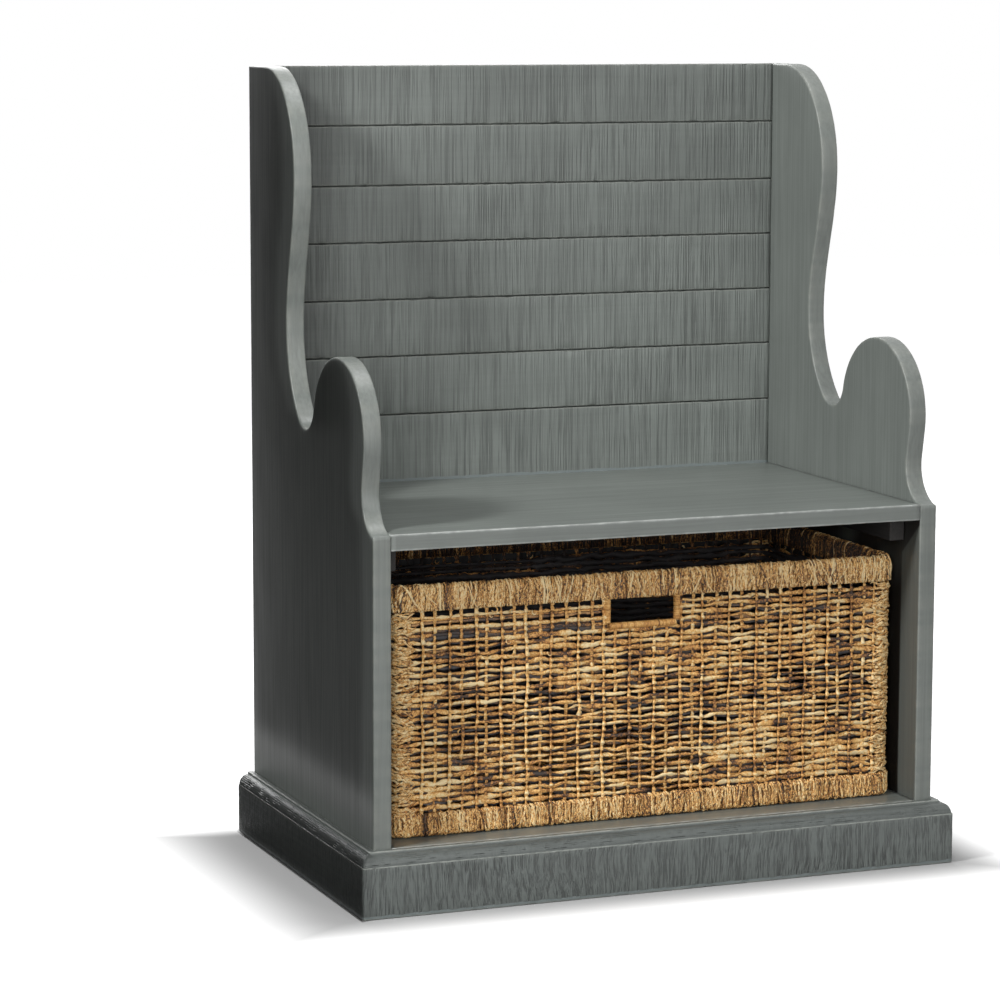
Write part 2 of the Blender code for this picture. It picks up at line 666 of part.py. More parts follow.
def build_basket():
    """The basket: a woven wall between a wrapped rim and a wrapped bottom band, with a floor inside."""
    carrier = bpy.data.objects.new("basket_slide", None)
    carrier.location = (0.0, BASKET_FRONT_Y, BASKET_BASE)
    bpy.context.scene.collection.objects.link(carrier)
    bpy.context.view_layer.update()

    wall = build_wall(carrier)
    room = SLOT_BINDING + FIT_GAP
    cut(wall, slot_box("hand_slot_cutter", room, RIM_BASE - SLOT_HEIGHT - room, RIM_BASE, WALL_THICKNESS))
    basket_ring("basket_rim", rim_section(), WRAPPED_FIBRE, carrier)
    basket_ring("basket_rim_rod", rod_section(), RATTAN_ROD, carrier)
    basket_ring("basket_bottom_band", band_section(), WRAPPED_FIBRE, carrier)

    inwards = RIM_WIDTH + FIT_GAP
    floor_base = BASKET_BASE + BASKET_FLOOR_LIFT
    levels = (floor_base, floor_base + BASKET_FLOOR_THICKNESS)
    outlines = [[tuple(place - facing * inwards + Vector((0.0, 0.0, z))) for place, facing in basket_plan()]
                for z in levels]
    prism("basket_floor", outlines, WOVEN_FIBRE, carrier)
    build_slot_binding(carrier)

    for piece in list(carrier.children):
        piece.matrix_parent_inverse = carrier.matrix_world.inverted()


def main():
    """Builds the bench from the floor up."""
    clear_scene()
    build_sides()
    build_plinth()
    build_floor()
    build_back()
    build_seat()
    build_basket()


main()
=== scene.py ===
"""The looks of the hall bench: grey-green paint over sawn boards, and a basket of dry plant fibre.

Each new piece is a surface worked out with numpy from the sizes in its class. Everything is in metres in
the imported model's frame: X runs along the bench, -Y is the front, +Z is up, and the floor is at Z = 0.
"""
import logging
import math
from collections.abc import Sequence
from dataclasses import dataclass, field, replace
from enum import Enum

import bpy
import numpy as np
from mathutils import Matrix, Vector
from mathutils.geometry import delaunay_2d_cdt


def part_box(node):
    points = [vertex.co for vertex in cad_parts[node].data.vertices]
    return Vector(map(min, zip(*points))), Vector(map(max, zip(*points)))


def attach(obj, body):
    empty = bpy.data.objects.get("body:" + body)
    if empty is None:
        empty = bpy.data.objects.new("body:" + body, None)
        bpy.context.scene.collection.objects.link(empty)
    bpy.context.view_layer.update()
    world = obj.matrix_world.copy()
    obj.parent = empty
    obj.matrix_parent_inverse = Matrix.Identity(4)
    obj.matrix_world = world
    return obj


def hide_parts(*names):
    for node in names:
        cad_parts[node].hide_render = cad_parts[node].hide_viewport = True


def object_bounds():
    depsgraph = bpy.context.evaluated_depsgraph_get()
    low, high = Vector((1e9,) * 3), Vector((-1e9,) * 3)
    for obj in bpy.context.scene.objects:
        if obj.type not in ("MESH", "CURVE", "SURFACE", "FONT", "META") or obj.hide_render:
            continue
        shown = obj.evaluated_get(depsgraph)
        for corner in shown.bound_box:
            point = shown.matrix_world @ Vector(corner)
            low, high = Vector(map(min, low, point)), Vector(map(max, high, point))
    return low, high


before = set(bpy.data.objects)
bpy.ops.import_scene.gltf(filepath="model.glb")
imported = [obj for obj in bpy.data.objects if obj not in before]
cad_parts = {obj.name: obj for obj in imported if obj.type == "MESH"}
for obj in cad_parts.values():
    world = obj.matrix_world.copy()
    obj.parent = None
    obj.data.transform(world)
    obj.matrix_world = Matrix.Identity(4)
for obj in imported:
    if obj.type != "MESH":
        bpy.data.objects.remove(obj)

CAD_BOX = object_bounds()
LOG = logging.getLogger("hall_bench")
TAU = 2 * math.pi

Array = np.ndarray
Socket = bpy.types.NodeSocket
Value = float | Socket
Colour = tuple[float, float, float]

# Planes that the CAD nodes give
SIDE_LOW, SIDE_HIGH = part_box("left_side_panel")
SEAT_LOW, SEAT_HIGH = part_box("seat_board")
BOTTOM_LOW, BOTTOM_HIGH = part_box("cubby_bottom_board")
BOARD_LOW, BOARD_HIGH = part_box("back_board_01")
RIM_LOW, RIM_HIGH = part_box("basket_rim")
BAND_LOW, BAND_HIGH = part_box("basket_bottom_band")
CASE_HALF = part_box("right_side_panel")[1].x
PLINTH_OUT = CAD_BOX[1][0] - CASE_HALF

# The arris share drives a paler colour on arrises: partly rubbed wear, partly a painted highlight.
ARRIS_LEAST = 0.0004  # a corner with a smaller radius than this isn't rubbed
ARRIS_FADE = 0.0006  # over which the rubbing fades out on the faces beside an arris
ARC_MARGIN = 0.0015  # length of the short step on a face beside each arc
BOARDS_SEEN = 7  # back boards that show above the seat, counted from the top


class Body(Enum):
    """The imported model's moving bodies."""

    BENCH = "bench"
    BASKET = "basket"


class Axis(Enum):
    """A direction that a pattern runs in."""

    X = 0
    Y = 1
    Z = 2


class Slot(Enum):
    """The record's material slots."""

    GREY_PAINT = "grey_paint"
    SAWN_PAINT = "sawn_paint"
    BARE_PINE = "bare_pine"
    WOVEN = "woven_fibre"
    WRAPPED = "wrapped_fibre"
    ROD = "rattan_rod"


@dataclass(frozen=True)
class Waves:
    """Smooth unevenness, the same each run.

    The value at a place is the sum of sine waves of seeded direction, length and phase, scaled so that
    its root mean square is about height. With a period, it joins itself after that length of the first
    coordinate.
    """

    seed: int
    height: float
    shortest: float
    longest: float
    count: int = 14
    period: float = 0.0

    def at(self, *places: Array) -> Array:
        """Works out the unevenness at many places.

        Args:
            places: one array for each coordinate, of shapes that broadcast together.

        Returns:
            An array of their common shape.
        """
        rng = np.random.default_rng(self.seed)
        lengths = np.exp(rng.uniform(math.log(self.shortest), math.log(self.longest), self.count))
        ways = rng.normal(size=(self.count, len(places)))
        numbers = TAU * ways / np.linalg.norm(ways, axis=1, keepdims=True) / lengths[:, None]
        if self.period:
            numbers[:, 0] = np.round(numbers[:, 0] * self.period / TAU) * TAU / self.period
        phases = rng.uniform(0.0, TAU, self.count)
        total = 0.0
        for number, phase in zip(numbers, phases):
            total = total + np.sin(sum(k * place for k, place in zip(number, places)) + phase)
        return self.height * math.sqrt(2.0 / self.count) * total


def ease(share: Array) -> Array:
    """Smoothstep: three times the share squared less twice its cube, held between 0 and 1."""
    share = np.clip(share, 0.0, 1.0)
    return share * share * (3.0 - 2.0 * share)


def vectors(x: Array | float, y: Array | float, z: Array | float) -> Array:
    """Stacks three coordinates, which broadcast together, into vectors."""
    return np.stack(np.broadcast_arrays(x, y, z), -1)


def make_mesh(name: str, points: Array, faces: Sequence[Array],
              traits: dict[str, Array] | None = None,
              maps: Sequence[Array] | None = None) -> bpy.types.Object:
    """Puts arrays into a mesh with smooth faces that point outwards.

    Args:
        name: the piece's name.
        points: vertex places, (count, 3).
        faces: arrays of vertex numbers, (faces, corners), one array for each number of corners.
        traits: float attributes by name, one value a vertex.
        maps: UV places for each array of faces, (faces, corners, 2).

    Returns:
        The object, linked to the scene and standing at the origin.
    """
    volume = 0.0
    for group in faces:
        for i in range(1, group.shape[1] - 1):
            a, b, c = points[group[:, 0]], points[group[:, i]], points[group[:, i + 1]]
            volume += np.einsum("ij,ij->", a, np.cross(b, c))
    if volume < 0:
        faces = [group[:, ::-1] for group in faces]
        maps = [group[:, ::-1] for group in maps] if maps else None
    corners = np.concatenate([group.ravel() for group in faces])
    sizes = np.concatenate([np.full(len(group), group.shape[1]) for group in faces])
    mesh = bpy.data.meshes.new(name)
    mesh.vertices.add(len(points))
    mesh.vertices.foreach_set("co", points.astype(np.float32).ravel())
    mesh.loops.add(len(corners))
    mesh.loops.foreach_set("vertex_index", corners.astype(np.int32))
    mesh.polygons.add(len(sizes))
    mesh.polygons.foreach_set("loop_start", (np.cumsum(sizes) - sizes).astype(np.int32))
    mesh.polygons.foreach_set("use_smooth", np.ones(len(sizes), bool))
    if maps:
        layer = mesh.uv_layers.new(name="run")
        layer.uv.foreach_set("vector", np.concatenate([m.reshape(-1) for m in maps]).astype(np.float32))
    for trait, values in (traits or {}).items():
        store = mesh.attributes.new(trait, "FLOAT", "POINT")
        store.data.foreach_set("value", np.asarray(values, np.float32).ravel())
    mesh.update(calc_edges=True)
    mesh.validate()
    piece = bpy.data.objects.new(name, mesh)
    bpy.context.scene.collection.objects.link(piece)
    return piece


@dataclass
class Grid:
    """A family of like surfaces, each a grid of points over a step along it and a step round it.

    Args:
        points: (family, along, round, 3). The last ring joins the first where closed_along is true, and
            otherwise each end is closed by a fan about its middle.
        closed_along: whether each surface joins up with itself along its length.
        run: distance along each surface for its UV map, (family, along).
        girth: distance once round it, for the other way of the map.
        traits: float attributes, of shapes that broadcast to (family, along, round).
    """

    points: Array
    closed_along: bool = False
    run: Array | None = None
    girth: float = 0.0
    traits: dict[str, Array] = field(default_factory=dict)

    def _faces(self) -> tuple[Array, Array, Array]:
        """Vertex numbers of the quads, and which step along and round each corner is at."""
        family, along, around, _ = self.points.shape
        last = along if self.closed_along else along - 1
        k, i, j = np.meshgrid(np.arange(family), np.arange(last), np.arange(around), indexing="ij")
        steps = np.stack([i, i + 1, i + 1, i], -1).reshape(-1, 4)
        turns = np.stack([j, j, j + 1, j + 1], -1).reshape(-1, 4)
        member = np.repeat(k.reshape(-1, 1), 4, axis=1)
        return (member * along + steps % along) * around + turns % around, steps, turns

    def make(self, name: str) -> bpy.types.Object:
        """Turns the grid into a mesh.

        Args:
            name: the piece's name.

        Returns:
            The object, with the traits as attributes and a UV map where there is a run.
        """
        family, along, around, _ = self.points.shape
        quads, steps, turns = self._faces()
        points = self.points.reshape(-1, 3)
        traits = {key: np.broadcast_to(value, (family, along, around)) for key, value in self.traits.items()}
        faces = [quads]
        maps = []
        if self.run is not None:
            ends = np.concatenate([self.run, 2 * self.run[:, -1:] - self.run[:, -2:-1]], axis=1)
            member = quads // (along * around)
            maps.append(np.stack([ends[member, steps], self.girth * turns / around], -1))
        if not self.closed_along:
            first = (np.arange(family) * along * around)[:, None] + np.arange(around)
            last = first + (along - 1) * around
            after = np.roll(np.arange(around), -1)
            middle = len(points) + np.arange(2 * family)
            starts = vectors(first, first[:, after], middle[:family, None])
            stops = vectors(last[:, after], last, middle[family:, None])
            rings = (self.points[:, 0], self.points[:, -1])
            points = np.concatenate([points] + [ring.mean(axis=1) for ring in rings])
            caps = np.concatenate([starts.reshape(-1, 3), stops.reshape(-1, 3)])
            faces.append(caps)
            if maps:
                maps.append(np.zeros((*caps.shape, 2)))
            traits = {key: np.concatenate([value.ravel(), value[:, 0].mean(1), value[:, -1].mean(1)])
                      for key, value in traits.items()}
        return make_mesh(name, points, faces, traits, maps)


def tubes(centre: Array, across: Array, out: Array, sides: int) -> Array:
    """Rings of points about centre lines.

    A point is the centre plus across times the cosine and out times the sine of its turn, with the
    first turn at the back so that the map's seam is hidden.

    Args:
        centre: (family, along, 3).
        across: the section's half width, a vector for each centre.
        out: its half thickness, a vector for each centre.
        sides: points to a ring.

    Returns:
        Points of shape (family, along, sides, 3).
    """
    turn = (np.arange(sides) / sides * TAU - math.pi / 2)[:, None]
    return centre[:, :, None] + across[:, :, None] * np.cos(turn) + out[:, :, None] * np.sin(turn)


def fibre_traits(tone: Array, strand: Array | float, shade: Array | float = 0.0) -> dict[str, Array]:
    """The attributes that a fibre's finish reads: its tone with its ring's shade, and its strand's number."""
    return {"tone": tone[..., None] + shade, "strand": np.broadcast_to(strand, tone.shape)[..., None]}


def stretch(along: Axis, across_scale: float, along_scale: float) -> tuple[float, ...]:
    """Scales for a pattern of lines along one axis."""
    return tuple(along_scale if axis is along else across_scale for axis in Axis)


def seeded_shift(seed: int) -> tuple[float, ...]:
    """Where a seeded pattern starts, so that no two boards are alike."""
    return tuple(float(value) for value in np.random.default_rng(seed).uniform(3.0, 9.0, 3))


def inner_shade(sides: int, amount: float) -> Array:
    """How much darker a strand's fibre is at each step of its ring: none outside, all at the back."""
    turn = np.arange(sides) / sides * TAU - math.pi / 2
    return -amount * ease(0.5 - 0.8 * np.sin(turn))


def rounded_section(corners: Sequence[tuple[float, float]], radii: Sequence[float],
                    spacing: float, arc_steps: int = 4) -> tuple[Array, Array, Array]:
    """A closed section with its corners rounded.

    Each corner is a circular arc that touches both its sides, and each side is cut into steps no longer
    than spacing, with one short step beside each arc.

    Args:
        corners: the sharp corners in order round the section.
        radii: the radius at each corner.
        spacing: longest step on a side.
        arc_steps: steps in each arc.

    Returns:
        Points (count, 2), their outward normals (count, 2), and how close each is to an arris, 0 to 1.
    """
    corners, radii = np.array(corners, float), np.maximum(radii, 1e-6)
    before = np.roll(corners, 1, axis=0) - corners
    after = np.roll(corners, -1, axis=0) - corners
    before /= np.linalg.norm(before, axis=1, keepdims=True)
    after /= np.linalg.norm(after, axis=1, keepdims=True)
    previous = np.roll(corners, 1, axis=0)
    area = np.sum(previous[:, 0] * corners[:, 1] - previous[:, 1] * corners[:, 0])
    flip = -1.0 if area < 0 else 1.0
    halves = np.arccos(np.clip(np.sum(before * after, axis=1), -1.0, 1.0)) / 2
    reaches = radii / np.tan(halves)
    points, normals, arris = [], [], []
    for i, corner in enumerate(corners):
        following = (i + 1) % len(corners)
        turned = (before[i][1] * after[i][0] - before[i][0] * after[i][1]) * flip
        sign = 1.0 if turned > 0 else -1.0
        n_in = np.array([-before[i][1], before[i][0]]) * flip
        n_out = np.array([after[i][1], -after[i][0]]) * flip
        inward = (before[i] + after[i]) / np.linalg.norm(before[i] + after[i])
        centre = corner + inward * radii[i] / math.sin(halves[i])
        share = np.linspace(0.0, 1.0, arc_steps + 1)[:, None]
        spread = math.pi - 2 * halves[i]
        ways = (np.sin((1 - share) * spread) * n_in + np.sin(share * spread) * n_out) / math.sin(spread)
        points.append(centre + ways * radii[i] * sign)
        normals.append(ways)
        arris.append(np.full(arc_steps + 1, 1.0 if sign > 0 and radii[i] > ARRIS_LEAST else 0.0))
        start = corner + after[i] * reaches[i]
        stop = corners[following] + before[following] * reaches[following]
        length = float(np.linalg.norm(stop - start))
        margin = min(ARC_MARGIN, length / 4)
        count = max(1, math.ceil((length - 2 * margin) / spacing))
        places = np.linspace(margin, length - margin, count + 1)[:, None] / length
        points.append(start + (stop - start) * places)
        normals.append(np.repeat(n_out[None], count + 1, axis=0))
        from_ends = np.stack([places[:, 0], 1 - places[:, 0]]) * length
        worn_ends = np.array([[radii[i]], [radii[following]]]) > ARRIS_LEAST
        arris.append(np.max(np.exp(-from_ends / ARRIS_FADE) * worn_ends, axis=0))
    return np.concatenate(points), np.concatenate(normals), np.concatenate(arris)


class Sketch:
    """Shorthand for building one material's nodes."""

    def __init__(self, name: str) -> None:
        """Starts a material with one shader.

        Args:
            name: the material's name.
        """
        self.material = bpy.data.materials.new(name)
        self.material.use_nodes = True
        self.tree = self.material.node_tree
        self.shader = self.tree.nodes["Principled BSDF"]

    @classmethod
    def on_tree(cls, tree: bpy.types.NodeTree) -> "Sketch":
        """Shorthand for a tree that has no material, such as the world's.

        Args:
            tree: the tree to add nodes to.

        Returns:
            A sketch without a material or a shader.
        """
        made = cls.__new__(cls)
        made.tree = tree
        return made

    def add(self, kind: str, inputs: dict[str | int, Value | Sequence[float]] | None = None,
            **settings: str) -> bpy.types.Node:
        """Adds a node.

        Args:
            kind: the node's class, without its ShaderNode prefix.
            inputs: a value or another node's socket for each input, by name or number.
            settings: the node's own properties.

        Returns:
            The node.
        """
        node = self.tree.nodes.new("ShaderNode" + kind)
        for key, value in settings.items():
            setattr(node, key, value)
        for key, value in (inputs or {}).items():
            if isinstance(value, Socket):
                self.tree.links.new(value, node.inputs[key])
            else:
                node.inputs[key].default_value = value
        return node

    def object_place(self, scale: Sequence[float], shift: Sequence[float] = (0, 0, 0),
                     warp: Socket | None = None) -> Socket:
        """Object coordinates, moved by a warp where one is given, then stretched and shifted."""
        place = self.add("TexCoord").outputs["Object"]
        if warp is not None:
            place = self.add("VectorMath", {0: place, 1: warp}, operation="ADD").outputs["Vector"]
        return self.add("Mapping", {"Vector": place, "Scale": scale, "Location": shift}).outputs["Vector"]

    def axes(self) -> Sequence[Socket]:
        """The object coordinates one by one: X, Y and Z."""
        return self.add("SeparateXYZ", {0: self.add("TexCoord").outputs["Object"]}).outputs

    def map_place(self, scale: Sequence[float], shift: Socket) -> Socket:
        """The piece's own UV map, stretched, then shifted."""
        place = self.add("UVMap", uv_map="run").outputs["UV"]
        place = self.add("Mapping", {"Vector": place, "Scale": scale}).outputs["Vector"]
        return self.add("VectorMath", {0: place, 1: shift}, operation="ADD").outputs["Vector"]

    def noise(self, place: Socket, scale: float, detail: float = 3.0, rough: float = 0.55,
              twist: float = 0.0) -> Socket:
        """Noise between 0 and 1, about 0.5 on average."""
        return self.add("TexNoise", {"Vector": place, "Scale": scale, "Detail": detail, "Roughness": rough,
                                     "Distortion": twist}).outputs[0]

    def trait(self, name: str) -> Socket:
        """A float attribute of the mesh."""
        return self.add("Attribute", attribute_name=name).outputs["Fac"]

    def spread(self, value: Socket, low: float, high: float, to_low: float = 0.0,
               to_high: float = 1.0) -> Socket:
        """Moves low..high to to_low..to_high smoothly and holds it there."""
        return self.add("MapRange", {"Value": value, "From Min": low, "From Max": high, "To Min": to_low,
                                     "To Max": to_high}, interpolation_type="SMOOTHSTEP").outputs["Result"]

    def maths(self, how: str, a: Value, b: Value = 0.0) -> Socket:
        """One step of arithmetic on two values."""
        return self.add("Math", {0: a, 1: b}, operation=how).outputs[0]

    def plus(self, a: Value, b: Value) -> Socket:
        """The sum of two values."""
        return self.maths("ADD", a, b)

    def less(self, a: Value, b: Value) -> Socket:
        """The first value less the second."""
        return self.maths("SUBTRACT", a, b)

    def times(self, a: Value, b: Value) -> Socket:
        """The product of two values."""
        return self.maths("MULTIPLY", a, b)

    def most(self, a: Value, b: Value) -> Socket:
        """The larger of two values."""
        return self.maths("MAXIMUM", a, b)

    def grey(self, value: Value) -> Socket:
        """The grey whose three parts are one value."""
        return self.add("CombineColor", {0: value, 1: value, 2: value}).outputs[0]

    def mix(self, share: Value, a: Socket | Colour, b: Socket | Colour, how: str = "MIX") -> Socket:
        """Mixes two colours; a share of 1 gives the second."""
        node = self.add("Mix", {0: share}, data_type="RGBA", blend_type=how)
        for number, value in ((6, a), (7, b)):
            if isinstance(value, Socket):
                self.tree.links.new(value, node.inputs[number])
            else:
                node.inputs[number].default_value = (*value, 1.0)
        return node.outputs[2]

    def ramp(self, value: Socket, stops: Sequence[tuple[float, Colour]]) -> Socket:
        """A colour for each value, eased between the stops."""
        node = self.add("ValToRGB", {"Fac": value})
        elements = node.color_ramp.elements
        while len(elements) < len(stops):
            elements.new(0.5)
        for element, (place, colour) in zip(elements, stops):
            element.position = place
            element.color = (*colour, 1.0)
        return node.outputs["Color"]

    def finish(self, colour: Socket, rough: Socket, height: Socket, depth: float) -> bpy.types.Material:
        """Wires the shader.

        Args:
            colour: the base colour.
            rough: the roughness.
            height: the bump's height, 0 to 1.
            depth: metres that a height of 1 stands for.

        Returns:
            The material.
        """
        bump = self.add("Bump", {"Height": height, "Distance": depth, "Strength": 1.0})
        for key, value in (("Base Color", colour), ("Roughness", rough), ("Normal", bump.outputs["Normal"])):
            self.tree.links.new(value, self.shader.inputs[key])
        return self.material

    def coat(self, piece: bpy.types.Object, shader: bpy.types.Node) -> None:
        """Gives a piece this material, with another shader as its surface."""
        self.tree.links.new(shader.outputs[0], self.tree.nodes["Material Output"].inputs["Surface"])
        piece.data.materials.append(self.material)


@dataclass(frozen=True)
class PaintedTimber:
    """Thin satin paint through which grain and saw strokes show.

    Fine lines run along the grain. Saw strokes run along saw, lean this way and that, come in patches,
    and are darker in their grooves. They fade out above the height saw_top, where dark veins of grain
    show. The tone wanders by mottle, and a painted shade darkens the left end of a board, for the left
    wing's shadow. Arrises are paler, by the mesh's arris attribute: partly rubbed wear, partly a painted
    highlight. Below the height foot the paint is smooth and pale. In the box of half width, front and top
    given for painted shade, the wood is painted near black as shade: behind the front, and above a slant
    that paints the seat's shadow, and more weakly elsewhere in the box. Behind rear neither foot nor
    painted shade goes.
    """

    colour: Colour = (0.155, 0.170, 0.158)
    grain: Axis = Axis.Z
    saw: Axis | None = None
    saw_contrast: float = 0.35
    saw_depth: float = 0.0006
    saw_lean: float = 0.0008
    saw_breaks: float = 9.0
    saw_top: float = 0.0
    foot: float = 0.0
    grain_contrast: float = 0.10
    mottle: float = 0.07
    left_end_shade: float = 0.0
    roughness: float = 0.42
    rub_and_highlight: float = 0.5
    worn: Colour = (0.27, 0.28, 0.25)
    foot_colour: Colour = (0.185, 0.215, 0.215)
    # Painted shade: a box, by half width, front and top, where a near-black colour stands for shade.
    painted_shade: tuple[float, float, float] | None = None
    rear: float = 1.0
    shade_colour: Colour = (0.012, 0.011, 0.010)

    def material(self, name: str, seed: int) -> bpy.types.Material:
        """Builds the finish.

        Args:
            name: the material's name.
            seed: moves the pattern.

        Returns:
            The material.
        """
        s = Sketch(name)
        shift = seeded_shift(seed)
        lines = s.noise(s.object_place(stretch(self.grain, 230.0, 5.0), shift), 1.0, 4.0, 0.6, 0.4)
        cloud = s.noise(s.object_place((1, 1, 1), shift), 7.0, 3.0, 0.6)
        tone = s.spread(lines, 0.25, 0.75, 1.0 - self.grain_contrast, 1.0 + self.grain_contrast)
        tone = s.times(tone, s.spread(cloud, 0.2, 0.8, 1.0 - self.mottle, 1.0 + self.mottle))
        across, back, level = s.axes()
        behind = s.spread(back, self.rear - 0.0010, self.rear + 0.0010)
        # Painted shade: the tone darkens towards a board's left end, where the left wing's shadow falls.
        if self.left_end_shade:
            tone = s.times(tone, s.spread(across, -0.315, -0.225, 1.0 - self.left_end_shade, 1.0))
        height = s.times(lines, 0.12 if self.saw else 0.5)
        depth = 0.0003
        if self.saw:
            swing = self._strokes(s, shift)
            if self.saw_top:
                over = s.spread(level, self.saw_top - 0.002, self.saw_top)
                veins = s.times(over, s.spread(lines, 0.30, 0.55, 0.30, 0.0))
                tone = s.times(tone, s.less(1.0, veins))
                swing = s.times(swing, s.spread(over, 0.0, 1.0, 1.0, 0.15))
            if self.foot:
                edge = s.times(s.noise(s.object_place((60.0, 60.0, 0.0), shift), 1.0, 2.0), 0.004)
                foot = s.spread(s.plus(level, edge), self.foot + 0.0015, self.foot + 0.0025)
                foot = s.most(foot, behind)
                swing = s.times(swing, foot)
            tone = s.times(tone, s.plus(s.times(swing, self.saw_contrast), 1.0))
            height = s.plus(height, s.times(swing, 0.8))
            depth = self.saw_depth
        grey = s.grey(tone)
        colour = s.mix(1.0, self.colour, grey, "MULTIPLY")
        if self.foot:
            colour = s.mix(s.less(1.0, foot), colour, self.foot_colour)
        # Arrises are paler: partly rubbed wear, partly a painted highlight on the rounded edge.
        chafe = s.noise(s.object_place((1, 1, 1), shift), 90.0, 3.0, 0.7)
        bare = s.times(s.trait("arris"), s.spread(chafe, 0.30, 0.65, 0.55, 1.0))
        colour = s.mix(s.times(bare, self.rub_and_highlight), colour, self.worn)
        # Painted shade: near black inside the box, weaker before its front and below the slant.
        if self.painted_shade:
            colour = s.mix(s.times(self._painted_shade_share(s), s.less(1.0, behind)), colour, self.shade_colour)
        rough = s.spread(lines, 0.2, 0.8, self.roughness + 0.06, self.roughness - 0.06)
        return s.finish(colour, rough, height, depth)

    def _strokes(self, s: Sketch, shift: Sequence[float]) -> Socket:
        """How far each saw stroke stands from the mean: fine strokes over broad ones, in patches."""
        way = s.noise(s.object_place((4.0, 4.0, 14.0), shift), 1.0, 1.0)
        slide = s.times(s.less(way, 0.5), 2.0 * self.saw_lean)
        warp = s.add("CombineXYZ", {0: slide, 1: slide}).outputs[0]
        short = stretch(self.saw, 560.0, self.saw_breaks)
        long = stretch(self.saw, 210.0, self.saw_breaks * 0.4)
        fine = s.noise(s.object_place(short, shift, warp), 1.0, 2.0, 0.6, 0.3)
        broad = s.noise(s.object_place(long, shift, warp), 1.0, 3.0, 0.6, 0.3)
        cloud = s.noise(s.object_place(stretch(self.saw, 9.0, 16.0), shift), 1.0, 2.0)
        stroke = s.spread(s.plus(s.times(fine, 0.55), s.times(broad, 0.45)), 0.36, 0.58)
        return s.times(s.less(stroke, 0.62), s.spread(cloud, 0.38, 0.66, 0.65, 1.0))

    def _painted_shade_share(self, s: Sketch) -> Socket:
        """1 where the painted shade is full, less before the front and below the slant, and 0 outside."""
        half, front, top = self.painted_shade
        across, back, level = s.axes()
        inside = s.spread(s.maths("ABSOLUTE", across), half + 0.0004, half + 0.0010, 1.0, 0.0)
        inside = s.times(inside, s.spread(level, top - 0.001, top + 0.001, 1.0, 0.0))
        slant = s.plus(level, s.times(back, 0.9))
        deep = s.most(s.spread(back, front - 0.003, front + 0.003), s.spread(slant, top - 0.206, top - 0.200))
        return s.times(inside, s.spread(deep, 0.0, 1.0, 0.42, 1.0))


@dataclass(frozen=True)
class BarePine:
    """Unpainted sawn pine: long growth lines, a warm tone that wanders, and a furry sawn face."""

    early: Colour = (0.46, 0.31, 0.17)
    late: Colour = (0.30, 0.17, 0.08)
    grain: Axis = Axis.Z

    def material(self, name: str, seed: int) -> bpy.types.Material:
        """Builds the finish.

        Args:
            name: the material's name.
            seed: moves the pattern.

        Returns:
            The material.
        """
        s = Sketch(name)
        shift = seeded_shift(seed)
        scale = stretch(self.grain, 90.0, 2.5)
        rings = s.noise(s.object_place(scale, shift), 1.0, 3.0, 0.5, 1.2)
        fur = s.noise(s.object_place(tuple(v * 6 for v in scale), shift), 1.0, 3.0)
        colour = s.mix(s.spread(rings, 0.42, 0.66), self.early, self.late)
        shade = s.spread(fur, 0.2, 0.8, 0.86, 1.10)
        colour = s.mix(1.0, colour, s.grey(shade), "MULTIPLY")
        height = s.plus(s.times(rings, 0.5), s.times(fur, 0.5))
        return s.finish(colour, s.spread(fur, 0.2, 0.8, 0.68, 0.84), height, 0.0004)


@dataclass(frozen=True)
class PlantFibre:
    """Dry leaf fibre: each strand's tone attribute picks its colour, and fine fibres run along its map.

    Crinkles cross the strand, with a painted highlight on their ridges and painted shade in their folds.
    """

    fibre_contrast: float = 0.30
    crinkle: float = 0.16
    roughness: float = 0.62
    stops: tuple[tuple[float, Colour], ...] = (
        (0.00, (0.018, 0.011, 0.008)),
        (0.20, (0.095, 0.043, 0.018)),
        (0.40, (0.430, 0.190, 0.055)),
        (0.58, (0.680, 0.350, 0.100)),
        (0.80, (0.870, 0.545, 0.195)),
        (1.00, (0.930, 0.740, 0.420)))

    def material(self, name: str, seed: int) -> bpy.types.Material:
        """Builds the finish.

        Args:
            name: the material's name.
            seed: moves the pattern.

        Returns:
            The material.
        """
        s = Sketch(name)
        own = s.trait("strand")
        shift = s.add("CombineXYZ", {0: s.times(own, 37.0 + seed), 1: s.times(own, 11.0)})
        fibres = s.noise(s.map_place((60.0, 1500.0, 1.0), shift.outputs[0]), 1.0, 3.0, 0.6, 0.3)
        blotch = s.noise(s.map_place((55.0, 120.0, 1.0), shift.outputs[0]), 1.0, 2.0, 0.5)
        tone = s.plus(s.trait("tone"), s.spread(blotch, 0.2, 0.8, -0.10, 0.10))
        tone = s.plus(tone, s.spread(fibres, 0.25, 0.75, -self.fibre_contrast / 2, self.fibre_contrast / 2))
        folds = s.noise(s.map_place((330.0, 520.0, 1.0), shift.outputs[0]), 1.0, 2.0, 0.6, 0.9)
        # Painted highlight and shade: the tone rises on the crinkles' ridges and falls in their folds, as their
        # bump does.
        tone = s.plus(tone, s.spread(folds, 0.32, 0.68, -self.crinkle, self.crinkle * 0.7))
        colour = s.ramp(tone, self.stops)
        height = s.plus(s.times(fibres, 0.5), s.times(blotch, 0.2))
        height = s.plus(height, s.times(folds, 2.0 * self.crinkle))
        rough = s.spread(fibres, 0.2, 0.8, self.roughness + 0.12, self.roughness - 0.10)
        return s.finish(colour, rough, height, 0.0009)


